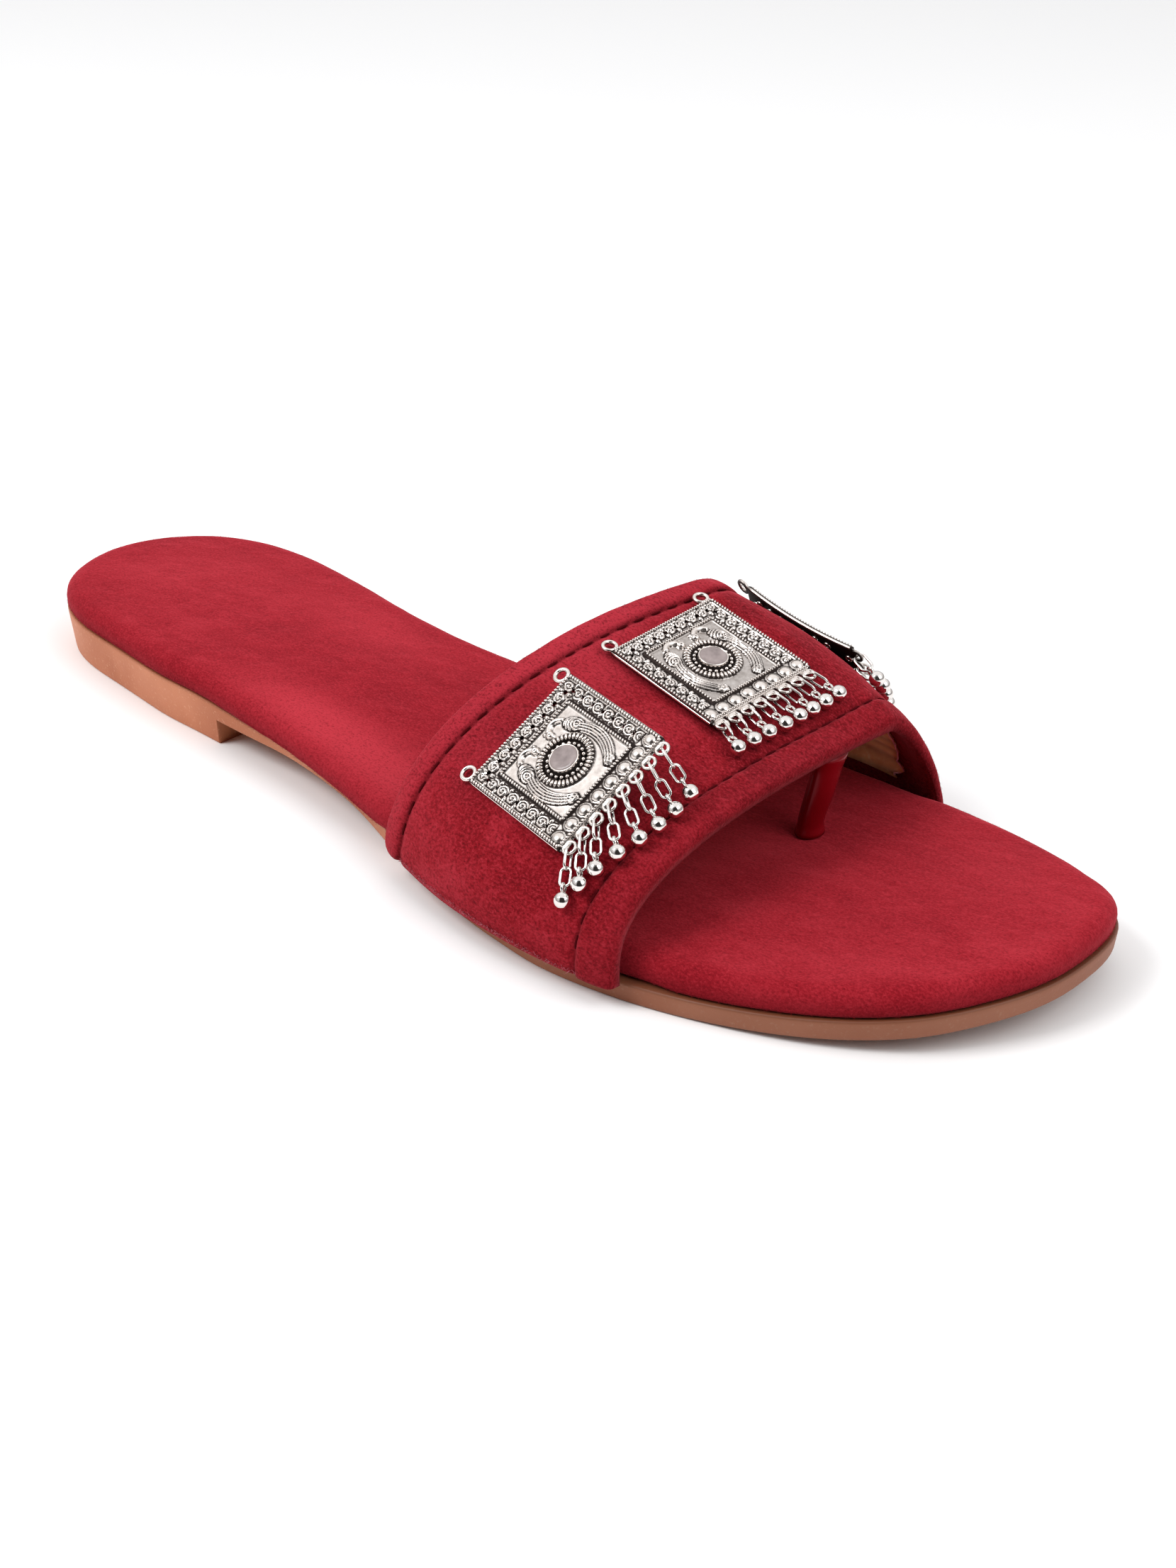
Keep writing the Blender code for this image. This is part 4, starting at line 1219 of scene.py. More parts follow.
@dataclass
class Outsole:
    """The moulded tan sole with its heel block, arch and toe spring."""

    foot: FootForm
    shop: Workshop
    taper: float = 1.0
    fillet: float = 0.45
    front_shade: float = 0.68

    def edge(self, station: Points) -> Points:
        """Return how far the sole's side is set in from the plan."""
        return smooth_table(self.foot.insets, 1, station)

    def low_edge(self, station: Points) -> Points:
        """Return how far the foot of the sole's side is set in from the plan."""
        return self.edge(station) + np.where(station <= self.foot.breast_foot, self.taper, 0.25)

    def side_height(self, station: Points, part: float) -> Points:
        """Return the height at a part of the way up the sole's side."""
        low = self.foot.underside(station) + self.fillet
        return low + (self.foot.sole_top(station) - 0.5 - low) * part

    def build(self) -> None:
        """Make the sole, from the middle of its underside round to the middle of its top."""
        foot, loft = self.foot, Loft(self.foot)
        for share in (0.0, 0.3, 0.55, 0.75, 0.9, 0.97):
            loft.add(self.low_edge, share, lambda s, _: foot.underside(s), 0.15)
        for part in (0.0, 0.35, 0.7, 1.0):
            inward = self.fillet * (1 - math.sin(part * math.pi / 2))
            rise = self.fillet * (1 - math.cos(part * math.pi / 2))
            loft.add(lambda s: self.low_edge(s) + inward, 1.0, lambda s, _: foot.underside(s) + rise,
                     0.12 * (1 - part))
        for part in (0.25, 0.5, 0.75):
            loft.add(lambda s: self.low_edge(s) * (1 - part) + self.edge(s) * part, 1.0,
                     lambda s, _: self.side_height(s, part), 0.0)
        rounding = ((-0.5, 0.0, 0.05), (-0.2, 0.08, 0.25), (-0.04, 0.22, 0.25), (0.0, 0.45, 0.25))
        for rise, inward, shade in rounding:
            loft.add(lambda s: self.edge(s) + inward, 1.0, lambda s, _: foot.sole_top(s) + rise, shade)
        for share in (0.9, 0.5, 0.0):
            loft.add(self.edge, share, lambda s, _: foot.sole_top(s), 0.4)
        mesh, points = loft.mesh("sole_block")
        low = np.arange(len(points)) < 5 * len(loft.rows[0])
        paint(mesh, "tread", low & ((points[:, 0] < foot.breast_foot - 2) | (points[:, 0] > 135.0)))
        browner = self.front_shade * ease(points[:, 0], 90.0, 215.0)
        paint(mesh, "shade", np.clip(np.concatenate(loft.shades) + browner, 0.0, 1.0))
        wear("sole_block", tidy_mesh(mesh), self.shop[Finish.SOLE], "outsole")


@dataclass
class Strap:
    """The wide velvet strap: outer skin, turned hems, lining, stitches and loose pile."""

    form: StrapForm
    shop: Workshop
    back_hem: float = 5.6
    front_hem: float = 7.0
    hem_step: float = 0.5
    lining_depth: float = 0.35
    turn_in: float = 8.0
    across_steps: int = 220
    stitch_length: float = 2.5
    stitch_pitch: float = 3.7
    stitch_radius: float = 0.26
    edge_radius: float = 0.16

    def profile(self) -> tuple[Points, Points]:
        """Return the outer skin's v values and how each stands out, with hems, grooves and rolled edges."""
        band = self.form.band
        ends = [0.0, 0.15, 0.4, 0.8, 1.4, 2.4]
        back = [*ends, 3.6, 4.6, 5.1, 5.4, 5.6, 5.8, 6.1, 6.6, 7.4]
        front = [*ends, 3.6, 4.8, 5.8, 6.5, 6.8, 7.0, 7.2, 7.5, 8.0, 8.8]
        middle = np.linspace(8.6, band - 10.0, 22)
        s = np.r_[back, middle, band - np.array(front)[::-1]]
        offset = self.hem_shape(s, self.back_hem) + self.hem_shape(band - s, self.front_hem)
        return s / band, offset

    def hem_shape(self, s: Points, width: float) -> Points:
        """Return how a hem stands out at a distance from its edge, with the stitched groove beside it."""
        lifted = self.hem_step * (1 - ease(s, width - 0.9, width + 0.35))
        pillow = 0.2 * np.sin(np.pi * np.clip(s / width, 0, 1)) ** 0.8
        rounded = np.where(s < 1.2, -0.75 * (1 - np.sqrt(1 - (1 - np.clip(s / 1.2, 0, 1)) ** 2)), 0.0)
        groove = -0.22 * np.exp(-((s - width) / 0.5) ** 2)
        beyond = 0.16 * np.exp(-((s - width - 1.9) / 1.2) ** 2)
        return lifted + pillow + rounded + groove + beyond

    def unevenness(self, u: Points, s: Points) -> Points:
        """Return the small swells of velvet that was folded and stitched by hand."""
        band, length = self.form.band, self.form.arch_length
        run = u * length
        broad = 0.16 * np.sin(run / 8.3 + 1.3 * np.sin(s / 9.0)) * np.sin(s / 11.0 + run / 23.0)
        near_back = np.exp(-((s - self.back_hem) / 2.2) ** 2)
        near_front = np.exp(-((band - s - self.front_hem) / 2.6) ** 2)
        pucker = -0.13 * (1 + np.cos(2 * np.pi * run / self.stitch_pitch)) / 2
        wander = 0.10 * wobble(run / 37.0, 21) * (np.exp(-(s / 3.5) ** 2) + np.exp(-((band - s) / 3.5) ** 2))
        return broad * np.sin(np.pi * s / band) + pucker * (near_back + near_front) + wander

    def skin(self) -> Mesh:
        """Return the strap's closed skin, with its inner side stepped in where the lining lies."""
        form = self.form
        v, offset = self.profile()
        u = np.linspace(0.0, 1.0, self.across_steps + 1)
        grid_u, grid_v = np.meshgrid(u, v, indexing="ij")
        s = grid_v * form.band
        outer = form.point(grid_u, grid_v, offset[None, :] + self.unevenness(grid_u, s))
        inner_v = v[::-1]
        depth = -form.wall + self.lining_depth * ease(np.minimum(inner_v, 1 - inner_v) * form.band, 4.0, 5.0)
        depth += 0.55 * (1 - ease(np.minimum(inner_v, 1 - inner_v) * form.band, 0.0, 1.2))
        grid_u, grid_iv = np.meshgrid(u, inner_v, indexing="ij")
        inner = form.point(grid_u, grid_iv, np.broadcast_to(depth[None, :], grid_u.shape))
        loops = np.concatenate([outer, inner], axis=1)
        count = loops.shape[1]
        points = form.foot.place(loops.reshape(-1, 3))
        faces = grid_faces(len(u), count, True)
        half = len(v)
        for start in (0, (len(u) - 1) * count):
            for k in range(half - 1):
                faces.append((start + k, start + k + 1, start + count - 2 - k, start + count - 1 - k))
        height = loops[..., 2] - form.foot.sole_top(loops[..., 0])
        # Painted shade: on the inner side, in the stitched grooves and over the front hem, and low down near
        # the sole
        hidden = np.concatenate([np.zeros_like(outer[..., 0]), np.full_like(inner[..., 0], 0.55)], axis=1)
        groove = np.concatenate([self.groove_shade(s), np.zeros_like(inner[..., 0])], axis=1)
        foot_shade = 0.35 * np.exp(-np.clip(height, 0, None) / 2.2)
        mesh = plain_mesh("strap_band", points, faces)
        paint(mesh, "shade", np.clip(hidden + groove + foot_shade, 0, 1).reshape(-1))
        # Painted sheen, on the outer face only
        shine = self.shine(grid_u[:, :half], s)
        paint(mesh, "glow", np.concatenate([shine, np.zeros_like(shine)], axis=1).reshape(-1))
        return tidy_mesh(mesh)

    def shine(self, u: Points, s: Points) -> Points:
        """Return the painted sheen of the pile: on top, on the back hem and on the front hem's fold.

        Args:
            u: How far across the foot each place lies.
            s: Its distance from the back edge, in millimetres.

        Returns:
            The shine, from 0 to 1.
        """
        back = np.exp(-((s - 3.0) / 3.6) ** 2) * (0.5 + 0.5 * np.exp(-((u - 0.45) / 0.2) ** 2))
        crown = 0.75 * np.exp(-((u - 0.42) / 0.1) ** 2 - ((s - 12.0) / 9.0) ** 2)
        near = 0.35 * np.exp(-((u - 0.2) / 0.07) ** 2 - ((s - 12.0) / 8.0) ** 2)
        front = 0.2 * np.exp(-((s - self.form.band + 2.0) / 2.6) ** 2) * (1 - ease(u, 0.55, 0.8))
        return np.clip(0.8 * (back + crown + near + front), 0.0, 0.8)

    def groove_shade(self, s: Points) -> Points:
        """Return the painted shade in the stitched grooves and over the front hem."""
        back = np.exp(-((s - self.back_hem) / 0.5) ** 2)
        front = np.exp(-((self.form.band - s - self.front_hem) / 0.5) ** 2)
        fold = ease(s, self.form.band - self.front_hem - 0.4, self.form.band - self.front_hem + 0.4)
        return 0.55 * (back + front) + 0.16 * fold

    def lining_edges(self, u: Points) -> tuple[Points, Points]:
        """Return the v of the lining's back and front edges, which are cut by hand in waves."""
        back = self.turn_in + 0.55 * wobble(u * 9, 31) + 0.25 * wobble(u * 40, 32)
        front = self.turn_in + 1.6 + 1.1 * wobble(u * 8, 33) + 0.35 * wobble(u * 37, 34)
        return back / self.form.band, 1 - front / self.form.band

    def edge_line(self) -> Mesh:
        """Return the pale raw edge of the lining, a fine line along its front and its back."""
        u = np.linspace(0.04, 0.96, 260)
        lines = []
        for v in self.lining_edges(u):
            path = path_mesh(self.form.foot.place(self.form.point(u, v, -self.form.wall - 0.08)))
            lines.append(self.shop.recipes.wire.run("line", path, self.shop[Finish.FRAYED],
                                                    Radius=self.edge_radius * MM, Sides=5))
        edge = merged("lining_edge", lines)
        paint(edge, "glow", 1.0)
        return edge

    def lining(self) -> Mesh:
        """Return the leatherette lining, a thin sheet with a wavy cut edge inside the turned hems."""
        form = self.form
        u = np.linspace(0.035, 0.965, 300)
        rows = 26
        share = np.linspace(0.0, 1.0, rows)
        back, front = self.lining_edges(u)
        grid_v = back[:, None] * (1 - share) + front[:, None] * share
        grid_u = np.broadcast_to(u[:, None], grid_v.shape)
        near_foot = 1 - ease(np.minimum(grid_u, 1 - grid_u), 0.11, 0.2)
        wave = 0.4 * wobble(grid_v * 1.1, 35, 2) + 0.2 * np.sin(grid_u * 90)
        fold = np.sin(2 * np.pi * (grid_u * 44 + wave))
        swell = 0.05 * np.sin(grid_u * 55) * np.sin(grid_v * 21) + 0.15 * fold * near_foot
        top = form.point(grid_u, grid_v, -form.wall + self.lining_depth - 0.05)
        low = form.point(grid_u, grid_v, -form.wall - 0.08 + swell)
        # Painted shade: dark up at the crown, lighter near the feet, with darker valleys between the folds
        lining_shade = 0.66 * (1 - near_foot) + 0.2 * (1 + fold) * near_foot
        points = form.foot.place(np.concatenate([top.reshape(-1, 3), low.reshape(-1, 3)]))
        half = len(u) * rows
        faces = grid_faces(len(u), rows, False)
        faces += [tuple(half + k for k in reversed(face)) for face in faces]
        rim = [i * rows for i in range(len(u))] + [(len(u) - 1) * rows + k for k in range(1, rows)]
        rim += [i * rows + rows - 1 for i in range(len(u) - 2, -1, -1)] + list(range(rows - 2, 0, -1))
        faces += [(rim[i], rim[(i + 1) % len(rim)], half + rim[(i + 1) % len(rim)], half + rim[i])
                  for i in range(len(rim))]
        mesh = plain_mesh("strap_lining", points, faces)
        paint(mesh, "shade", np.tile(lining_shade.ravel(), 2))
        return tidy_mesh(mesh)

    def stitches(self) -> Mesh:
        """Return both rows of stitches, each a short sunk dash of thread."""
        rows = []
        count = int(self.form.arch_length / self.stitch_pitch)
        u = (np.arange(count) + 0.5) / count
        u = u[(u > 0.03) & (u < 0.97)]
        for v in (self.back_hem / self.form.band, 1 - self.front_hem / self.form.band):
            here, along, out = self.form.frame_at(u, v, -0.02)
            rows.append((self.form.foot.place(here), along, out))
        motif = round_motif("stitch", (self.stitch_length / 2, self.stitch_radius, self.stitch_radius), 10, 8)
        marks = tuple(np.concatenate(parts) for parts in zip(*rows))
        thread = self.shop[Finish.THREAD]
        return self.shop.recipes.set_motifs("strap_stitches", motif, marks, thread, spread=0.12, seed=5)

    def strip(self, lines: Sequence[tuple], lift: float) -> Mesh:
        """Return the band between two lines, each given by its u and its v."""
        return strip_mesh([self.form.foot.place(self.form.point(u, v, lift)) for u, v in lines])

    def nap(self, velvet: Material) -> Mesh:
        """Return loose pile along the strap's edges and its lower cut edge."""
        band = self.form.band
        u, v = np.linspace(0.0, 1.0, 160), np.linspace(0.06, 0.98, 90)
        strips = [tidy_mesh(self.strip([(u, low / band), (u, high / band)], 0.35))
                  for low, high in ((0.3, 1.6), (band - 1.6, band - 0.3))]
        strips += [self.strip([(low, v), (high, v)], 0.1) for low, high in ((0.001, 0.011), (0.999, 0.989))]
        made = self.shop.recipes.fringe.run("strap_nap", merged("nap_base", strips), velvet, Density=9.0e6,
                                            Seed=17, Lean=1.2, Length=0.0006, Width=0.00003)
        paint(made, "shade", 0.1)
        return made

    def frays(self, frayed: Material) -> Mesh:
        """Return the pale frayed threads along the strap's cut lower edges and the lining's raw edge."""
        v = np.linspace(0.1, 0.97, 120)
        ends = ((0.0005, 0.0045), (0.9995, 0.9955))
        strips = [self.strip([(low, v), (high, v)], 0.05) for low, high in ends]
        made = self.shop.recipes.fringe.run("strap_frays", merged("fray_base", strips), frayed, Density=1.1e7,
                                            Seed=23, Lean=1.6, Length=0.0011, Width=0.00006)
        paint(made, "glow", 0.0)
        return merged("strap_frays", [made, self.edge_line()])

    def build(self) -> None:
        """Make the strap's pieces."""
        velvet, frayed = self.shop[Finish.STRAP_VELVET], self.shop[Finish.FRAYED]
        wear("strap_band", self.skin(), velvet, "strap")
        wear("strap_lining", self.lining(), self.shop[Finish.LINING])
        wear("strap_stitches", self.stitches(), self.shop[Finish.THREAD])
        wear("strap_nap", self.nap(velvet), velvet)
        wear("strap_frays", self.frays(frayed), frayed)


@dataclass
class ToePost:
    """The glossy post between the first and second toes."""

    foot: FootForm
    shop: Workshop
    sections: tuple[Row, ...] = ((0.0, 191.4, 9.5, 2.5, 3.2), (0.12, 191.4, 9.6, 2.1, 2.9),
                                 (0.45, 191.8, 11.0, 2.2, 3.3), (0.8, 192.2, 12.4, 2.2, 3.5),
                                 (1.0, 192.4, 13.0, 2.5, 3.9))
    sides: int = 40
    rows: int = 26

    def build(self, node: bpy.types.Object) -> None:
        """Make the post between the heights that its solid spans.

        Args:
            node: The post's solid.
        """
        solid = mesh_points(node.data) / MM
        solid[:, :2] += self.foot.origin
        turn = 2 * np.pi * np.arange(self.sides) / self.sides
        low = self.end_heights(solid, self.sections[0], turn, True)
        high = self.end_heights(solid, self.sections[-1], turn, False)
        loops = []
        for share in np.linspace(0.0, 1.0, self.rows):
            row = (float(smooth_table(self.sections, k, share)) for k in range(1, 5))
            station, across, reach, beside = row
            height = low + (high - low) * share
            stations = station + reach * np.cos(turn)
            loops.append(np.column_stack([stations, across + beside * np.sin(turn), height]))
        caps = [loop.mean(axis=0) for loop in (loops[0], loops[-1])]
        points = self.foot.place(np.concatenate([*loops, np.array(caps)]))
        faces = grid_faces(self.rows, self.sides, True)
        total = self.rows * self.sides
        for start, cap in ((0, total), (total - self.sides, total + 1)):
            faces += [(start + k, start + (k + 1) % self.sides, cap) for k in range(self.sides)]
        mesh = tidy_mesh(plain_mesh("toe_post_tube", points, faces), FINE_WELD)
        wear("toe_post_tube", mesh, self.shop[Finish.POST], "toe_post")

    @staticmethod
    def end_heights(solid: Points, section: Row, turn: Points, lowest: bool) -> Points:
        """Return the solid's height at one end, read round the post.

        Args:
            solid: The solid's points, in millimetres.
            section: The section at that end.
            turn: The angles to read at.
            lowest: Whether the lower end is read, or the upper one.

        Returns:
            The heights.
        """
        angle = np.arctan2((solid[:, 1] - section[2]) / section[4], (solid[:, 0] - section[1]) / section[3])
        sector = np.round(angle / (np.pi / 6)).astype(int) % 12
        pick = np.min if lowest else np.max
        heights = [pick(solid[sector == k, 2]) for k in range(12)]
        return np.interp(turn, np.pi / 6 * np.arange(13), heights + heights[:1])


# The cast plates

@dataclass
class PlateSeat:
    """Where one plate lies: its centre and its toe, side and out directions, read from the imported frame."""

    name: str
    centre: Points
    toe: Points
    side: Points
    out: Points
    curl: float
    half: float

    @classmethod
    def read(cls, name: str, frame: dict, half: float, reach: float, curl: float) -> "PlateSeat":
        """Read a seat from the plate's mesh and from the hinges of its bells.

        Args:
            name: The plate's name.
            frame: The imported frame.
            half: Half the plate's side, in millimetres.
            reach: How far the holes' centres lie beyond that.
            curl: How far its ends bend up.

        Returns:
            The seat.
        """
        mesh = frame["nodes"][f"plate_{name}"].data
        points = mesh_points(mesh)
        out = np.linalg.svd(points - points.mean(axis=0))[2][2]
        out = out if out[2] > 0 else -out
        normals = np.array([face.normal[:] for face in mesh.polygons])
        areas = np.array([face.area for face in mesh.polygons])
        under = normals @ out < -math.cos(math.radians(15))
        out = -(normals[under] * areas[under, None]).sum(axis=0)
        out /= np.linalg.norm(out)
        holes = {joint["name"]: np.array(joint["pos_m"], float) for joint in frame["joints"]}
        first, last = holes[f"bell_{name}_1_swing"], holes[f"bell_{name}_8_swing"]
        side = last - first
        side -= out * (side @ out)
        side /= np.linalg.norm(side)
        toe = np.cross(side, out)
        centre = (first + last) / 2 - toe * (half + reach) * MM - out * curl * MM
        return cls(name, centre, toe, side, out, curl, half)

    def world(self, local: Points) -> Points:
        """Return plate-local points (toe, side, out, in millimetres) as metres in the row frame."""
        lift = self.curl * np.minimum(local[:, 0] / self.half, 1.0) ** 2
        return (self.centre + (local[:, :1] * self.toe + local[:, 1:2] * self.side
                               + (local[:, 2:3] + lift[:, None]) * self.out) * MM)


@dataclass
class PlateRelief:
    """The relief of a cast plate in its own axes, in millimetres: toe is x, the inner side is y, out is z."""

    plate: float = 25.8
    sheet: float = 0.8
    band: float = 4.3
    trim: float = 0.8
    pitch: float = 0.15
    stone: float = 2.75
    stone_top: float = 1.5
    collar: float = 4.75
    collar_half: float = 0.75
    granule_line: float = 3.4
    eyelets: int = 8
    reach: float = 0.3
    pinhole: float = 0.42
    scroll_pitch: float = 2.75
    loop_radius: float = 1.65
    loop_reach: float = 1.5
    loop_inset: float = 1.1

    @property
    def half(self) -> float:
        """Half the plate's side."""
        return self.plate / 2

    def eyelet_rows(self) -> Points:
        """Return the places of the eyelets across the plate."""
        return (np.arange(self.eyelets) - (self.eyelets - 1) / 2) * self.plate / self.eyelets

    def pinholes(self) -> Points:
        """Return the centres of the holes that are pierced through the border."""
        line = self.half - self.band / 2
        across = np.arange(-3.5, 4.0) * self.scroll_pitch
        found = [(-line, place) for place in across]
        found += [(place, side * line) for place in across[:-1] for side in (-1, 1)]
        rows = self.eyelet_rows()
        found += [(self.half - 1.35, (a + b) / 2) for a, b in zip(rows, rows[1:])]
        return np.array(found)

    def edge_distance(self, x: Points, y: Points) -> Points:
        """Return how far a place lies from the plate's nearest edge."""
        return np.minimum(np.minimum(self.half + x, self.half - x), self.half - np.abs(y))

    def bird(self, x: Points, y: Points) -> Points:
        """Return the height of the pair of birds, mirrored about the heel-to-toe line.

        Args:
            x: The places towards the toe.
            y: The places towards the inner side.

        Returns:
            The heights over the ground.
        """
        y = np.abs(y)
        radius = np.hypot(x, y)
        turn = np.degrees(np.arctan2(y, x))
        along = np.clip((118.0 - turn) / 92.0, 0.0, 1.0)
        middle = 6.7 + 1.6 * along ** 1.5
        width = 1.35 - 0.35 * np.abs(2 * along - 1) ** 2
        inside = np.clip(1 - (np.abs(radius - middle) / width) ** 4, 0.0, 1.0)
        inside *= ease(turn, 22.0, 30.0) * (1 - ease(turn, 112.0, 122.0))
        ridges = 0.5 + 0.5 * np.cos(2 * np.pi * (radius - middle) / 0.52)
        tail = inside * (0.22 + 0.3 * ridges)
        curl = self.spiral(x - 6.9, y - 4.6, 1.25)
        wing_x, wing_y = x + 4.2, y - 5.9
        lean = math.radians(20)
        wing_a = wing_x * math.cos(lean) + wing_y * math.sin(lean)
        wing_b = wing_y * math.cos(lean) - wing_x * math.sin(lean)
        span = np.hypot(wing_a / 2.5, wing_b / 1.6)
        feathers = 0.5 + 0.16 * np.cos(2 * np.pi * np.hypot(wing_a - 0.9, wing_b) / 0.55)
        wing = np.clip(1 - span ** 3, 0, 1) * feathers
        neck_turn = np.degrees(np.arctan2(y - 3.6, -(x + 6.0)))
        neck = bump(np.hypot(x + 6.0, y - 3.6) - 1.75, 0.6) * 0.5
        neck *= ease(neck_turn, -75, -60) * (1 - ease(neck_turn, 70, 85))
        head = bump(np.hypot(x + 6.2, y - 1.85), 0.85) * 0.62
        eye = -0.2 * np.exp(-(np.hypot(x + 6.2, y - 1.9) / 0.2) ** 2)
        beak = bump(np.hypot((x + 7.1) / 1.7, (y - 1.4)), 0.36) * 0.4
        return 1.5 * np.maximum.reduce([tail, curl, wing, neck, head + eye, beak])

    def spiral(self, x: Points, y: Points, reach: float) -> Points:
        """Return the height of a small curled ridge about a point.

        Args:
            x: The places from the point towards the toe.
            y: The places from the point towards the inner side.
            reach: How far the ridge reaches.

        Returns:
            The heights.
        """
        radius = np.hypot(x, y)
        turn = np.arctan2(y, x) / (2 * np.pi)
        ridge = 0.5 + 0.5 * np.cos(2 * np.pi * (radius / 0.62 - turn))
        return np.clip(1 - (radius / reach) ** 6, 0, 1) * (0.12 + 0.34 * ridge)

    def border(self, x: Points, y: Points) -> Points:
        """Return the height of the border's ground, with leaves between its scrolls.

        Args:
            x: The places towards the toe.
            y: The places towards the inner side.

        Returns:
            The heights.
        """
        line = self.half - self.band / 2
        heel = (np.abs(x + line) < self.band / 2) & (np.abs(y) < line)
        run = np.where(heel, y, x)
        depth = np.where(heel, x + line, np.abs(y) - line)
        cell = (run / self.scroll_pitch + 0.5) % 1.0 - 0.5
        run_mm = cell * self.scroll_pitch
        curls = self.spiral(run_mm, depth, 1.32)
        leaf_x = np.abs(run_mm) - self.scroll_pitch / 2
        leaves = bump(np.hypot(leaf_x / 0.5, (np.abs(depth) - 1.0) / 0.85), 0.75) * 0.4
        veins = 0.05 * np.cos(2 * np.pi * (run + depth) / 0.45)
        return 1.35 * np.maximum(curls, leaves) + veins

    def height(self, x: Points, y: Points) -> Points:
        """Return the top face's height over the plate.

        Args:
            x: The places towards the toe.
            y: The places towards the inner side.

        Returns:
            The heights.
        """
        top = self.sheet / 2
        edge = self.edge_distance(x, y)
        radius = np.hypot(x, y)
        inner = self.half - self.band
        framed = (np.abs(x) < inner) & (np.abs(y) < inner)
        toe_band = (x > inner) & (np.abs(y) < self.half)
        ground = np.where(framed, top - 0.05, top - 0.22 + self.border(x, y))
        rows = self.eyelet_rows()
        nearest = rows[np.argmin(np.abs(y[..., None] - rows), axis=-1)]
        dome = bump(np.hypot(x - (self.half - 2.55), y - nearest), 1.15) * 0.75
        rim = 0.24 * np.exp(-((np.hypot(x - (self.half - 2.55), y - nearest) - 1.3) / 0.16) ** 2)
        toe_ground = top - 0.12 + dome + rim
        ground = np.where(toe_band & (np.abs(y) < self.half - 0.6), toe_ground, ground)
        rails = np.maximum(bump(edge - 0.55, 0.5), bump(self.inner_edge(x, y), 0.42))
        ground = np.maximum(ground, top - 0.1 + 0.36 * rails)
        ground = np.where(framed, np.maximum(ground, top - 0.05 + self.bird(x, y)), ground)
        collar = bump(radius - self.collar, self.collar_half) * 0.42
        in_well = radius < self.collar - self.collar_half + 0.1
        ground = np.where(in_well, top - 0.3, np.maximum(ground, top - 0.05 + collar))
        seat = np.where(radius < self.stone + 0.1, top + 0.2, -1.0)
        return np.maximum(ground, seat)

    def inner_edge(self, x: Points, y: Points) -> Points:
        """Return the distance from the square line of the inner frame."""
        line = self.half - self.band - 0.1
        return np.maximum(np.abs(x), np.abs(y)) - line

    def sheet_mesh(self) -> tuple[Points, list, Points]:
        """Work out the pierced sheet.

        Returns:
            Its points in millimetres, its faces and how dark each point is painted: by its depth in the
            relief, and in painted shade on the underside.
        """
        half = self.half
        xs = np.linspace(-half, half - self.trim, int((2 * half - self.trim) / self.pitch) + 1)
        ys = np.linspace(-half, half, int(2 * half / self.pitch) + 1)
        x, y = np.meshgrid(xs, ys, indexing="ij")
        high = self.height(x, y)
        broad = np.exp(-(np.arange(-6, 7) / 3.2) ** 2)
        wide = blurred(high, broad / broad.sum())
        near = blurred(high, np.array([1.0, 2.0, 3.0, 2.0, 1.0]) / 9.0)
        # Darker where the relief lies lower than round it: patina and painted shade in the hollows
        recess = np.clip((wide - high) / 0.16 + (near - high) / 0.05 + 0.32, 0.0, 1.0)
        framed = np.maximum(np.abs(x), np.abs(y)) < half - self.band - 0.5
        radius, bird = np.hypot(x, y), self.bird(x, y)
        edge = np.minimum(half + x, half - np.abs(y))
        plain = framed & (radius > self.collar + self.collar_half) & (bird < 0.03)
        recess = np.where(plain, 0.53, recess)
        # The birds' dark outlines, deepened with painted shade
        outline = framed & (bird > 0.03) & (bird < 0.33)
        recess = np.where(outline, np.maximum(recess, 0.97), recess)
        milled = (np.abs(radius - self.collar) < self.collar_half) | (edge < 0.85)
        milled |= np.abs(self.inner_edge(x, y)) < 0.4
        recess = np.where(milled, 0.88, recess)
        recess = np.where(radius < self.collar - self.collar_half + 0.1, 1.0, recess)
        px, py = x.copy(), y.copy()
        open_cells = np.zeros((len(xs) - 1, len(ys) - 1), bool)
        mid_x, mid_y = (xs[1:] + xs[:-1]) / 2, (ys[1:] + ys[:-1]) / 2
        for hole_x, hole_y in self.pinholes():
            away = np.hypot(x - hole_x, y - hole_y)
            near = (np.abs(away - self.pinhole) < 0.62 * self.pitch) & (away > 0)
            px[near] = hole_x + (x - hole_x)[near] * self.pinhole / away[near]
            py[near] = hole_y + (y - hole_y)[near] * self.pinhole / away[near]
            open_cells |= np.hypot(mid_x[:, None] - hole_x, mid_y[None, :] - hole_y) < self.pinhole - 0.02
        count = x.size
        top = np.column_stack([px.ravel(), py.ravel(), high.ravel()])
        low = np.column_stack([px.ravel(), py.ravel(), np.full(count, -self.sheet / 2)])
        faces = self.shell_faces(open_cells, len(ys), count)
        # The underside is painted in shade
        shade = np.r_[recess.ravel(), np.full(count, 0.95)]
        return np.concatenate([top, low]), faces, shade

    @staticmethod
    def shell_faces(open_cells: Points, columns: int, under: int) -> list[tuple[int, ...]]:
        """Return the faces of a pierced sheet: its top, its underside and the walls between them.

        Args:
            open_cells: Which cells of the grid are left open.
            columns: The number of points in a row of the grid.
            under: The number of the underside's first point.

        Returns:
            The faces, as tuples of point numbers.
        """
        faces: list[tuple[int, ...]] = []
        sides: set[tuple[int, int]] = set()
        for i, k in zip(*np.nonzero(~open_cells)):
            a = int(i * columns + k)
            corners = (a, a + columns, a + columns + 1, a + 1)
            faces.append(corners)
            faces.append(tuple(under + c for c in reversed(corners)))
            for first, second in zip(corners, corners[1:] + corners[:1]):
                if (second, first) in sides:
                    sides.remove((second, first))
                else:
                    sides.add((first, second))
        faces += [(second, first, under + first, under + second) for first, second in sides]
        return faces


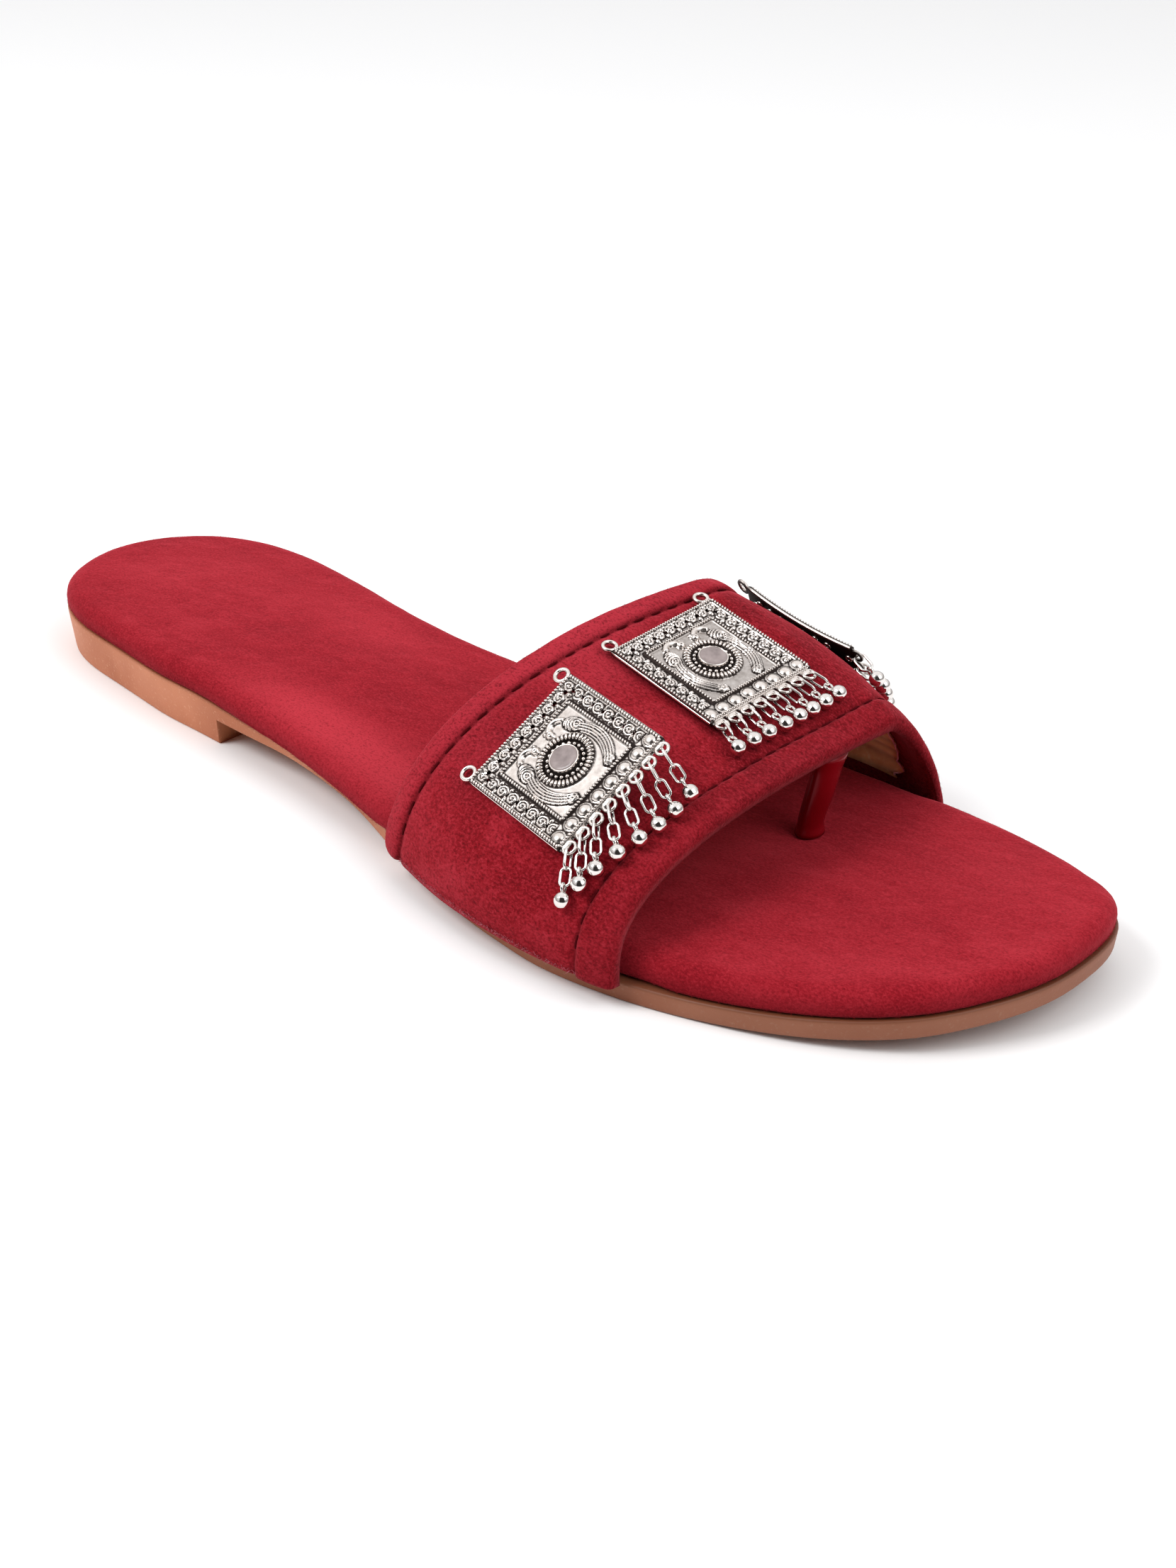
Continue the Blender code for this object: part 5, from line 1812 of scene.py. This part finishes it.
def blurred(heights: Points, kernel: Points) -> Points:
    """Return a grid of heights, blurred along both of its axes by a row of weights."""
    reach = len(kernel) // 2
    for axis in (0, 1):
        heights = np.apply_along_axis(
            lambda row: np.convolve(np.pad(row, reach, mode="edge"), kernel, "valid"), axis, heights)
    return heights


def line_marks(start: Row, end: Row, pitch: float) -> tuple[Points, Points]:
    """Place marks evenly along a straight line.

    Args:
        start: The line's start.
        end: The line's end.
        pitch: About how far apart the marks lie.

    Returns:
        The marks' places and the line's direction at each.
    """
    start, end = np.array(start, float), np.array(end, float)
    length = np.linalg.norm(end - start)
    count = max(int(round(length / pitch)), 1)
    places = start + (end - start) * ((np.arange(count) + 0.5) / count)[:, None]
    return places, np.tile((end - start) / length, (count, 1))


@dataclass
class CastPlates:
    """The three cast plates: pierced sheet, milled rims, scrolls, granules, eyelets, loops and stone."""

    relief: PlateRelief
    seats: list[PlateSeat]
    shop: Workshop
    milling: float = 0.64
    rim_radius: float = 0.34
    # How strongly each part is painted darker towards its lower side, as painted shade
    tarnish: dict[str, float] = field(default_factory=lambda: {
        "rim": 0.35, "burrs": 0.1, "corner_loops": 0.6, "eyelets": 0.8})

    def square(self, line: float, toe_line: float, height: float) -> tuple[Points, Points]:
        """Return marks for milling along a square.

        Args:
            line: How far its heel side and its two sides lie from the middle.
            toe_line: How far its toe side does.
            height: The marks' height.

        Returns:
            The marks' places and directions.
        """
        corners = [(-line, -line), (-line, line), (toe_line, line), (toe_line, -line)]
        ends = zip(corners, corners[1:] + corners[:1])
        rows = [line_marks((*a, height), (*b, height), self.milling) for a, b in ends]
        return np.concatenate([row[0] for row in rows]), np.concatenate([row[1] for row in rows])

    def circle(self, radius: float, count: int, height: float) -> tuple[Points, Points]:
        """Return marks round the stone and the direction along the circle at each."""
        turn = 2 * np.pi * np.arange(count) / count
        places = np.column_stack([radius * np.cos(turn), radius * np.sin(turn), np.full(count, height)])
        return places, np.column_stack([-np.sin(turn), np.cos(turn), np.zeros(count)])

    def set_local(self, name: str, motif: Mesh, places: Points, alongs: Points | None = None,
                  spread: float = 0.06) -> Mesh:
        """Set a motif on plate-local marks.

        Args:
            name: The name of the mesh that is made.
            motif: The motif's mesh; it is removed.
            places: The marks' places, in millimetres.
            alongs: The direction of each mark's X, or None for the way to the toe.
            spread: How far a motif's size may differ at random.

        Returns:
            The mesh of all the motifs, in plate-local metres.
        """
        if alongs is None:
            alongs = np.tile((1.0, 0.0, 0.0), (len(places), 1))
        marks = (places * MM, alongs, np.tile((0.0, 0.0, 1.0), (len(places), 1)))
        return self.shop.recipes.set_motifs(name, motif, marks, self.shop[Finish.CAST], spread=spread, seed=3)

    def washer(self, radius: float, hole: float, thickness: float, sides: int) -> Mesh:
        """Return a round ring with a domed rim, lying flat.

        Args:
            radius: Its outer radius, in millimetres.
            hole: The radius of its hole.
            thickness: Half its thickness.
            sides: Its faces round the hole.

        Returns:
            The ring, in metres.
        """
        middle, reach = (radius + hole) / 2, (radius - hole) / 2
        angles = np.linspace(0, 2 * np.pi, 9)[:-1]
        profile = [(middle + reach * math.cos(a), thickness * math.sin(a)) for a in angles]
        points = []
        for turn in 2 * np.pi * np.arange(sides) / sides:
            points += [(r * math.cos(turn) * MM, r * math.sin(turn) * MM, z * MM) for r, z in profile]
        faces = grid_faces(sides, 8, True)
        faces += [((sides - 1) * 8 + k, (sides - 1) * 8 + (k + 1) % 8, (k + 1) % 8, k) for k in range(8)]
        return tidy_mesh(plain_mesh("washer", points, faces), FINE_WELD)

    def trimmings(self) -> list[Mesh]:
        """Return the milled rims, granules, eyelets and corner loops, in plate-local metres."""
        relief, half = self.relief, self.relief.half
        top = relief.sheet / 2
        inner = half - relief.band - 0.1
        toe_line = half - relief.trim - 0.3
        rows = relief.eyelet_rows()
        level = np.zeros(len(rows))
        eyes = np.column_stack([level + half + relief.reach, rows, level])
        webs = np.column_stack([level + half - 0.75, rows, level])
        sides = np.array([-1.0, 1.0]) * (half - relief.loop_inset)
        loop = self.washer(relief.loop_radius, 0.88, 0.42, 28)
        corners = np.column_stack([np.full(2, -half - relief.loop_reach), sides, np.zeros(2)])
        return [
            self.set_local("outer_milling", round_motif("bead", (0.24, 0.44, 0.34), 6, 4, 32.0),
                           *self.square(half - 0.42, toe_line, top + 0.2)),
            self.set_local("inner_milling", round_motif("fine_bead", (0.23, 0.4, 0.3), 6, 4, 32.0),
                           *self.square(inner, inner, top + 0.28)),
            self.set_local("ring_milling", round_motif("ring_bead", (0.3, 0.72, 0.4), 8, 6),
                           *self.circle(relief.collar, 40, top + 0.34)),
            self.set_local("granules", round_motif("granule", (0.38, 0.38, 0.38), 8, 6),
                           *self.circle(relief.granule_line, 20, top + 0.1)),
            self.rim(toe_line), self.burrs(),
            self.set_local("eyelets", self.washer(1.45, 0.82, 0.36, 20), eyes, spread=0.0),
            self.set_local("eyelet_webs", round_motif("web", (1.05, 1.5, 0.34), 12, 6), webs, spread=0.0),
            self.set_local("corner_loops", loop, corners, spread=0.0)]

    def rim(self, toe_line: float) -> Mesh:
        """Return the rounded rim round the sheet's heel side and its two sides.

        Args:
            toe_line: How far towards the toe it reaches, in millimetres.

        Returns:
            The rim, in plate-local metres.
        """
        line = self.relief.half - 0.2
        run = np.linspace(toe_line, -line, 24)
        ends = np.linspace(-line, line, 24)[1:-1]
        path = [(x, -line, 0.0) for x in run] + [(-line, y, 0.0) for y in ends]
        path += [(x, line, 0.0) for x in run[::-1]]
        base = path_mesh(np.array(path) * MM)
        metal = self.shop[Finish.CAST]
        return self.shop.recipes.wire.run("rim", base, metal, Radius=self.rim_radius * MM, Sides=12)

    def burrs(self) -> Mesh:
        """Return the bright ring that each pierced hole has on the underside, in plate-local metres."""
        holes = self.relief.pinholes()
        places = np.column_stack([holes, np.full(len(holes), -self.relief.sheet / 2)])
        ring = self.washer(self.relief.pinhole + 0.4, self.relief.pinhole, 0.26, 12)
        return self.set_local("burrs", ring, places)

    def stone(self) -> Mesh:
        """Return the flat stone with its rounded edge, in plate-local metres."""
        wide, top = self.relief.stone, self.relief.stone_top
        return self.turned("stone", [
            (0.0, 0.3), (wide - 0.2, 0.3), (wide - 0.2, top - 0.25), (wide - 0.26, top - 0.1),
            (wide - 0.45, top - 0.02), (wide - 0.9, top), (0.0, top + 0.03)])

    def bezel(self) -> Mesh:
        """Return the plain cup that holds the stone, in plate-local metres."""
        wide, top = self.relief.stone, self.relief.stone_top
        return self.turned("bezel", [
            (0.0, 0.25), (wide + 0.05, 0.25), (wide + 0.02, top - 0.4), (wide, top - 0.12),
            (wide - 0.08, top - 0.03), (wide - 0.2, top - 0.04), (wide - 0.26, top - 0.16), (wide - 0.3, 0.6),
            (0.0, 0.6)])

    @staticmethod
    def turned(name: str, profile: Sequence[Row], count: int = 48) -> Mesh:
        """Return a shape turned about Z.

        Args:
            name: The mesh's name.
            profile: Its radius and height at each row, in millimetres.
            count: Its faces round Z.

        Returns:
            The mesh, in metres.
        """
        turn = 2 * np.pi * np.arange(count) / count
        points = [(r * math.cos(a) * MM, r * math.sin(a) * MM, z * MM) for r, z in profile for a in turn]
        return tidy_mesh(plain_mesh(name, points, grid_faces(len(profile), count, True)), FINE_WELD)

    def build(self) -> None:
        """Make the plate and its stone once and lay a copy of each on every seat."""
        metal = self.shop[Finish.CAST]
        points, faces, recess = self.relief.sheet_mesh()
        sheet = plain_mesh("sheet", points * MM, faces)
        sheet.shade_smooth()
        sheet.materials.append(metal)
        paint(sheet, "recess", recess)
        parts = [self.bezel(), *self.trimmings()]
        for part in parts:
            part.materials.clear()
            part.materials.append(metal)
            # Painted shade: each part is darker towards its lower side, as strongly as listed for it
            height = mesh_points(part)[:, 2] / MM
            fallen = (height.max() - height) / (height.max() - max(height.min(), -0.1))
            strength = self.tarnish.get(part.name.split(".")[0], 1.15)
            paint(part, "recess", np.clip(strength * fallen, 0.0, 0.92))
        pieces = ((merged("plate", [sheet, *parts]), "cast_plate_", metal, "plate_"),
                  (self.stone(), "flat_stone_", self.shop[Finish.STONE], ""))
        for seat in self.seats:
            for local, name, finish, node in pieces:
                mesh = local.copy()
                mesh.vertices.foreach_set("co", seat.world(mesh_points(mesh) / MM).ravel())
                mesh.update()
                wear(name + seat.name, mesh, finish, node and node + seat.name)


# The bells

@dataclass
class BellDrop:
    """One bell on its jump ring, rebuilt round at the place and slant of its solid."""

    name: str
    hole: Points
    axis: Points
    solid: Points
    links: int
    shop: Workshop
    wire: float = 0.27
    ring: tuple[float, float] = (3.9, 1.1)
    second: tuple[float, float] = (3.2, 0.88)
    loop: tuple[float, float] = (1.5, 0.75)
    bite: float = 0.1
    aside: float = 0.05
    lean: float = 9.0
    radius: float = 1.5
    sink: float = 0.16

    def ball_centre(self) -> Points:
        """Fit the ball's centre to the solid's farthest points."""
        away = np.linalg.norm(self.solid - self.hole, axis=1)
        centre = self.solid[np.argsort(away)[-30:]].mean(axis=0)
        for _ in range(40):
            near = self.solid[np.linalg.norm(self.solid - centre, axis=1) < (self.radius + 0.25) * MM]
            rows = np.column_stack([2 * near, np.ones(len(near))])
            centre = np.linalg.lstsq(rows, (near ** 2).sum(axis=1), rcond=None)[0][:3]
        return centre

    def link_rows(self) -> list[tuple[Points, Points, Points, float, float]]:
        """Hang the links between the hole and the ball, bent to the side that the solid bends to.

        Returns:
            Each link's top, its way, its width's way, its length and its half width.
        """
        ball = self.ball_centre()
        ring_reach = (self.ring[0] - 2 * self.wire + self.bite) * MM
        tail = self.loop[0] + self.radius - self.sink
        if self.links == 2:
            tail += self.second[0] - 2 * self.wire + self.bite
        tail *= MM
        gap = ball - self.hole
        gap -= self.axis * (gap @ self.axis)
        span = min(np.linalg.norm(gap), ring_reach + tail - 1e-7)
        way = gap / np.linalg.norm(gap)
        cosine = (ring_reach ** 2 + span ** 2 - tail ** 2) / (2 * ring_reach * span)
        bend = math.acos(max(-1.0, min(1.0, cosine)))
        beside = np.cross(self.axis, way)
        best: list = []
        error = math.inf
        for sign in (-1, 1):
            ring_way = way * math.cos(bend) + beside * math.sin(sign * bend)
            rows = self.rows_for(ring_way, ball)
            middles = np.concatenate([self.oval(*row) for row in rows])
            near = self.solid[np.linalg.norm(self.solid - ball, axis=1) > (self.radius + 0.3) * MM]
            away = np.linalg.norm(near[:, None] - middles[None], axis=2).min(axis=1).mean()
            if away < error:
                best, error = rows, away
        return best

    def rows_for(self, ring_way: Points, ball: Points) -> list[tuple[Points, Points, Points, float, float]]:
        """Return the links for a direction of the ring, hanging in each other down to the ball.

        Args:
            ring_way: The direction in which the ring hangs.
            ball: The ball's centre.

        Returns:
            Each link's top, its way, its width's way, its length and its half width.
        """
        rows = [(self.hole, ring_way, np.cross(self.axis, ring_way), *self.ring)]
        hang = self.ring[0] - 2 * self.wire + self.bite
        low = self.hole + ring_way * hang * MM + self.axis * self.aside * MM
        tail_way = (ball - low) / np.linalg.norm(ball - low)
        tail_out = np.cross(self.axis, tail_way)
        lean = math.radians(self.lean)
        width_way = self.axis * math.cos(lean) + tail_out * math.sin(lean)
        if self.links == 2:
            rows.append((low, tail_way, width_way, *self.second))
            hang = self.second[0] - 2 * self.wire + self.bite
            low = low + tail_way * hang * MM + tail_out * self.aside * MM
            width_way = tail_out
        rows.append((low, tail_way, width_way, *self.loop))
        return rows

    @staticmethod
    def oval(top: Points, way: Points, width_way: Points, length: float, half: float,
             count: int = 28) -> Points:
        """Return the middle line of a long link.

        Args:
            top: Its top.
            way: The direction in which it hangs.
            width_way: The direction of its width.
            length: Its length, in millimetres.
            half: Half its width, in millimetres.
            count: The number of points.

        Returns:
            The points, in metres.
        """
        turn = 2 * np.pi * (np.arange(count) + 0.5) / count
        along = half - half * np.cos(turn) + (length - 2 * half) * (np.cos(turn) < 0)
        aside = half * np.sin(turn)
        return top + (along[:, None] * way + aside[:, None] * width_way) * MM

    def ball_mesh(self, centre: Points, way: Points) -> Mesh:
        """Return the round bell with the fine seam round its middle and a dimple at its foot.

        Args:
            centre: Its centre.
            way: The direction in which it hangs.

        Returns:
            The mesh.
        """
        side = np.cross(way, self.axis)
        side /= np.linalg.norm(side)
        beside = np.cross(side, way)
        above, seam, below = np.linspace(26, 84, 6), [87.5, 90.0, 92.5], np.linspace(96, 154, 6)
        angles = np.radians(np.r_[0.0, 8.0, 16.0, above, seam, below, 166.0, 174.0, 180.0])
        radius = self.radius * np.ones(len(angles))
        radius += 0.025 * np.exp(-((angles - np.pi / 2) / 0.035) ** 2)
        radius -= 0.07 * np.exp(-((np.pi - angles) / 0.16) ** 2)
        turn = 2 * np.pi * np.arange(22) / 22
        round_way = side * np.cos(turn)[:, None] + beside * np.sin(turn)[:, None]
        points = [centre + (-way * math.cos(angle) + round_way * math.sin(angle)) * reach * MM
                  for angle, reach in zip(angles, radius)]
        faces = grid_faces(len(angles), len(turn), True)
        return tidy_mesh(plain_mesh("ball", np.concatenate(points), faces), FINE_WELD)

    def build(self) -> None:
        """Make the drop: its links as round wire, with the ball on the last."""
        metal, wire = self.shop[Finish.BRIGHT], self.shop.recipes.wire
        rows = self.link_rows()
        low, way = rows[-1][0], rows[-1][1]
        centre = low + way * (self.loop[0] + self.radius - self.sink) * MM
        wires = [self.wire] * (len(rows) - 1) + [self.wire + 0.04]
        parts = [wire.run("link", path_mesh(self.oval(*row), True), metal, Radius=radius * MM, Sides=8)
                 for row, radius in zip(rows, wires)]
        parts.append(self.ball_mesh(centre, way))
        parts[-1].materials.append(metal)
        for part in parts:
            # Painted shade on faces turned down: strong on the links, lighter on the ball's lower half
            down = -np.array([vertex.normal.z for vertex in part.vertices])
            depth = 0.45 if part is parts[-1] else 0.85
            paint(part, "recess", depth * ease(down, -0.35, 0.7))
        wear(f"{self.name}_drop", merged(f"{self.name}_drop", parts), metal, self.name, self.name)


# The studio

@dataclass
class Studio:
    """The camera at the photograph's angle, the pale floor and the soft lights."""

    eye: Row = (0.25995, -0.26970, 0.1969)
    target: Row = (0.025998, -0.004737, 0.010)
    roll: float = 1.054
    lens: float = 49.52
    key: Row = (-0.45, -0.75, 1.0)
    key_power: float = 8.0
    fill: Row = (0.95, 0.1, 0.9)
    fill_power: float = 5.0
    world: float = 0.78

    def build(self) -> None:
        """Make the camera, the floor, the lights and the surrounding light."""
        self.camera()
        self.floor()
        self.light("key_softbox", self.key, self.key_power, 0.55)
        self.light("fill_softbox", self.fill, self.fill_power, 0.9)
        self.surround()
        bpy.context.scene.view_settings.view_transform = "Standard"

    def camera(self) -> None:
        """Make the camera."""
        lens = bpy.data.cameras.new("photo_camera")
        lens.lens = self.lens
        lens.sensor_width = 36.0
        lens.sensor_fit = "AUTO"
        lens.clip_start, lens.clip_end = 0.01, 20.0
        camera = bpy.data.objects.new("photo_camera", lens)
        bpy.context.scene.collection.objects.link(camera)
        ahead = (Vector(self.target) - Vector(self.eye)).normalized()
        right = ahead.cross(Vector((0, 0, 1))).normalized()
        up = right.cross(ahead)
        turn = math.radians(self.roll)
        across = right * math.cos(turn) + up * math.sin(turn)
        above = up * math.cos(turn) - right * math.sin(turn)
        pose = Matrix((across, above, -ahead)).transposed().to_4x4()
        pose.translation = Vector(self.eye)
        camera.matrix_world = pose
        bpy.context.scene.camera = camera

    def floor(self) -> None:
        """Make the pale floor."""
        mesh = plain_mesh("pale_floor", [(-4, -4, 0), (4, -4, 0), (4, 4, 0), (-4, 4, 0)], [(0, 1, 2, 3)])
        made, pen, shader = new_material("pale_floor")
        pen.fill(shader, {"Base Color": (0.97, 0.97, 0.97), "Roughness": 0.9, "Specular IOR Level": 0.1})
        mesh.materials.append(made)
        show("pale_floor", mesh)

    def light(self, name: str, place: Row, power: float, size: float) -> None:
        """Make one soft square light that faces the sandal.

        Args:
            name: Its name.
            place: Where it stands, in metres.
            power: Its power, in watts.
            size: The length of its side, in metres.
        """
        data = bpy.data.lights.new(name, "AREA")
        data.energy = power
        data.size = size
        lamp = bpy.data.objects.new(name, data)
        bpy.context.scene.collection.objects.link(lamp)
        lamp.location = place
        lamp.rotation_mode = "QUATERNION"
        lamp.rotation_quaternion = (Vector(place) - Vector(self.target)).to_track_quat("Z", "Y")

    def surround(self) -> None:
        """Make the surrounding light, pale all round and darker where the photographer stands."""
        world = bpy.data.worlds.new("pale_room")
        world.use_nodes = True
        bpy.context.scene.world = world
        pen = Pen(world.node_tree)
        background = world.node_tree.nodes["Background"]
        way = pen.add("ShaderNodeTexCoord").outputs["Generated"]
        toward = tuple((Vector(self.eye) - Vector(self.target)).normalized())
        facing = pen.vector("DOT_PRODUCT", way, 1, toward).outputs["Value"]
        dark = pen.spread(facing, 0.70, 0.86)
        height = pen.add("ShaderNodeSeparateXYZ", {0: way}).outputs["Z"]
        sky = pen.blend(pen.spread(height, 0.08, 0.62), (0.42, 0.41, 0.41), (1.38, 1.38, 1.39))
        room = pen.blend(dark, sky, (0.05, 0.045, 0.045))
        seen = pen.add("ShaderNodeLightPath").outputs["Is Camera Ray"]
        pen.put(background.inputs["Color"], pen.blend(seen, room, (1.25, 1.25, 1.25)))
        background.inputs["Strength"].default_value = self.world


def main() -> None:
    """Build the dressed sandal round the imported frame."""
    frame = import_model()
    shop, foot = Workshop(), FootForm()
    Studio().build()
    Outsole(foot, shop).build()
    Footbed(foot, shop).build()
    Strap(StrapForm(foot), shop).build()
    ToePost(foot, shop).build(frame["nodes"]["toe_post"])
    relief = PlateRelief()
    curls = {"lateral": 0.0, "middle": 0.0, "medial": 0.9}
    seats = [PlateSeat.read(name, frame, relief.half, relief.reach, curl) for name, curl in curls.items()]
    CastPlates(relief, seats, shop).build()
    for joint in frame["joints"]:
        name = joint["child"]
        solid = mesh_points(frame["nodes"][name].data)
        axis = np.array(joint["axis"], float)
        links = 2 if "lateral" in name else 1
        hole = np.array(joint["pos_m"], float)
        BellDrop(name, hole, axis / np.linalg.norm(axis), solid, links, shop).build()


if __name__ == "__main__":
    logging.basicConfig(level=logging.INFO)
    main()
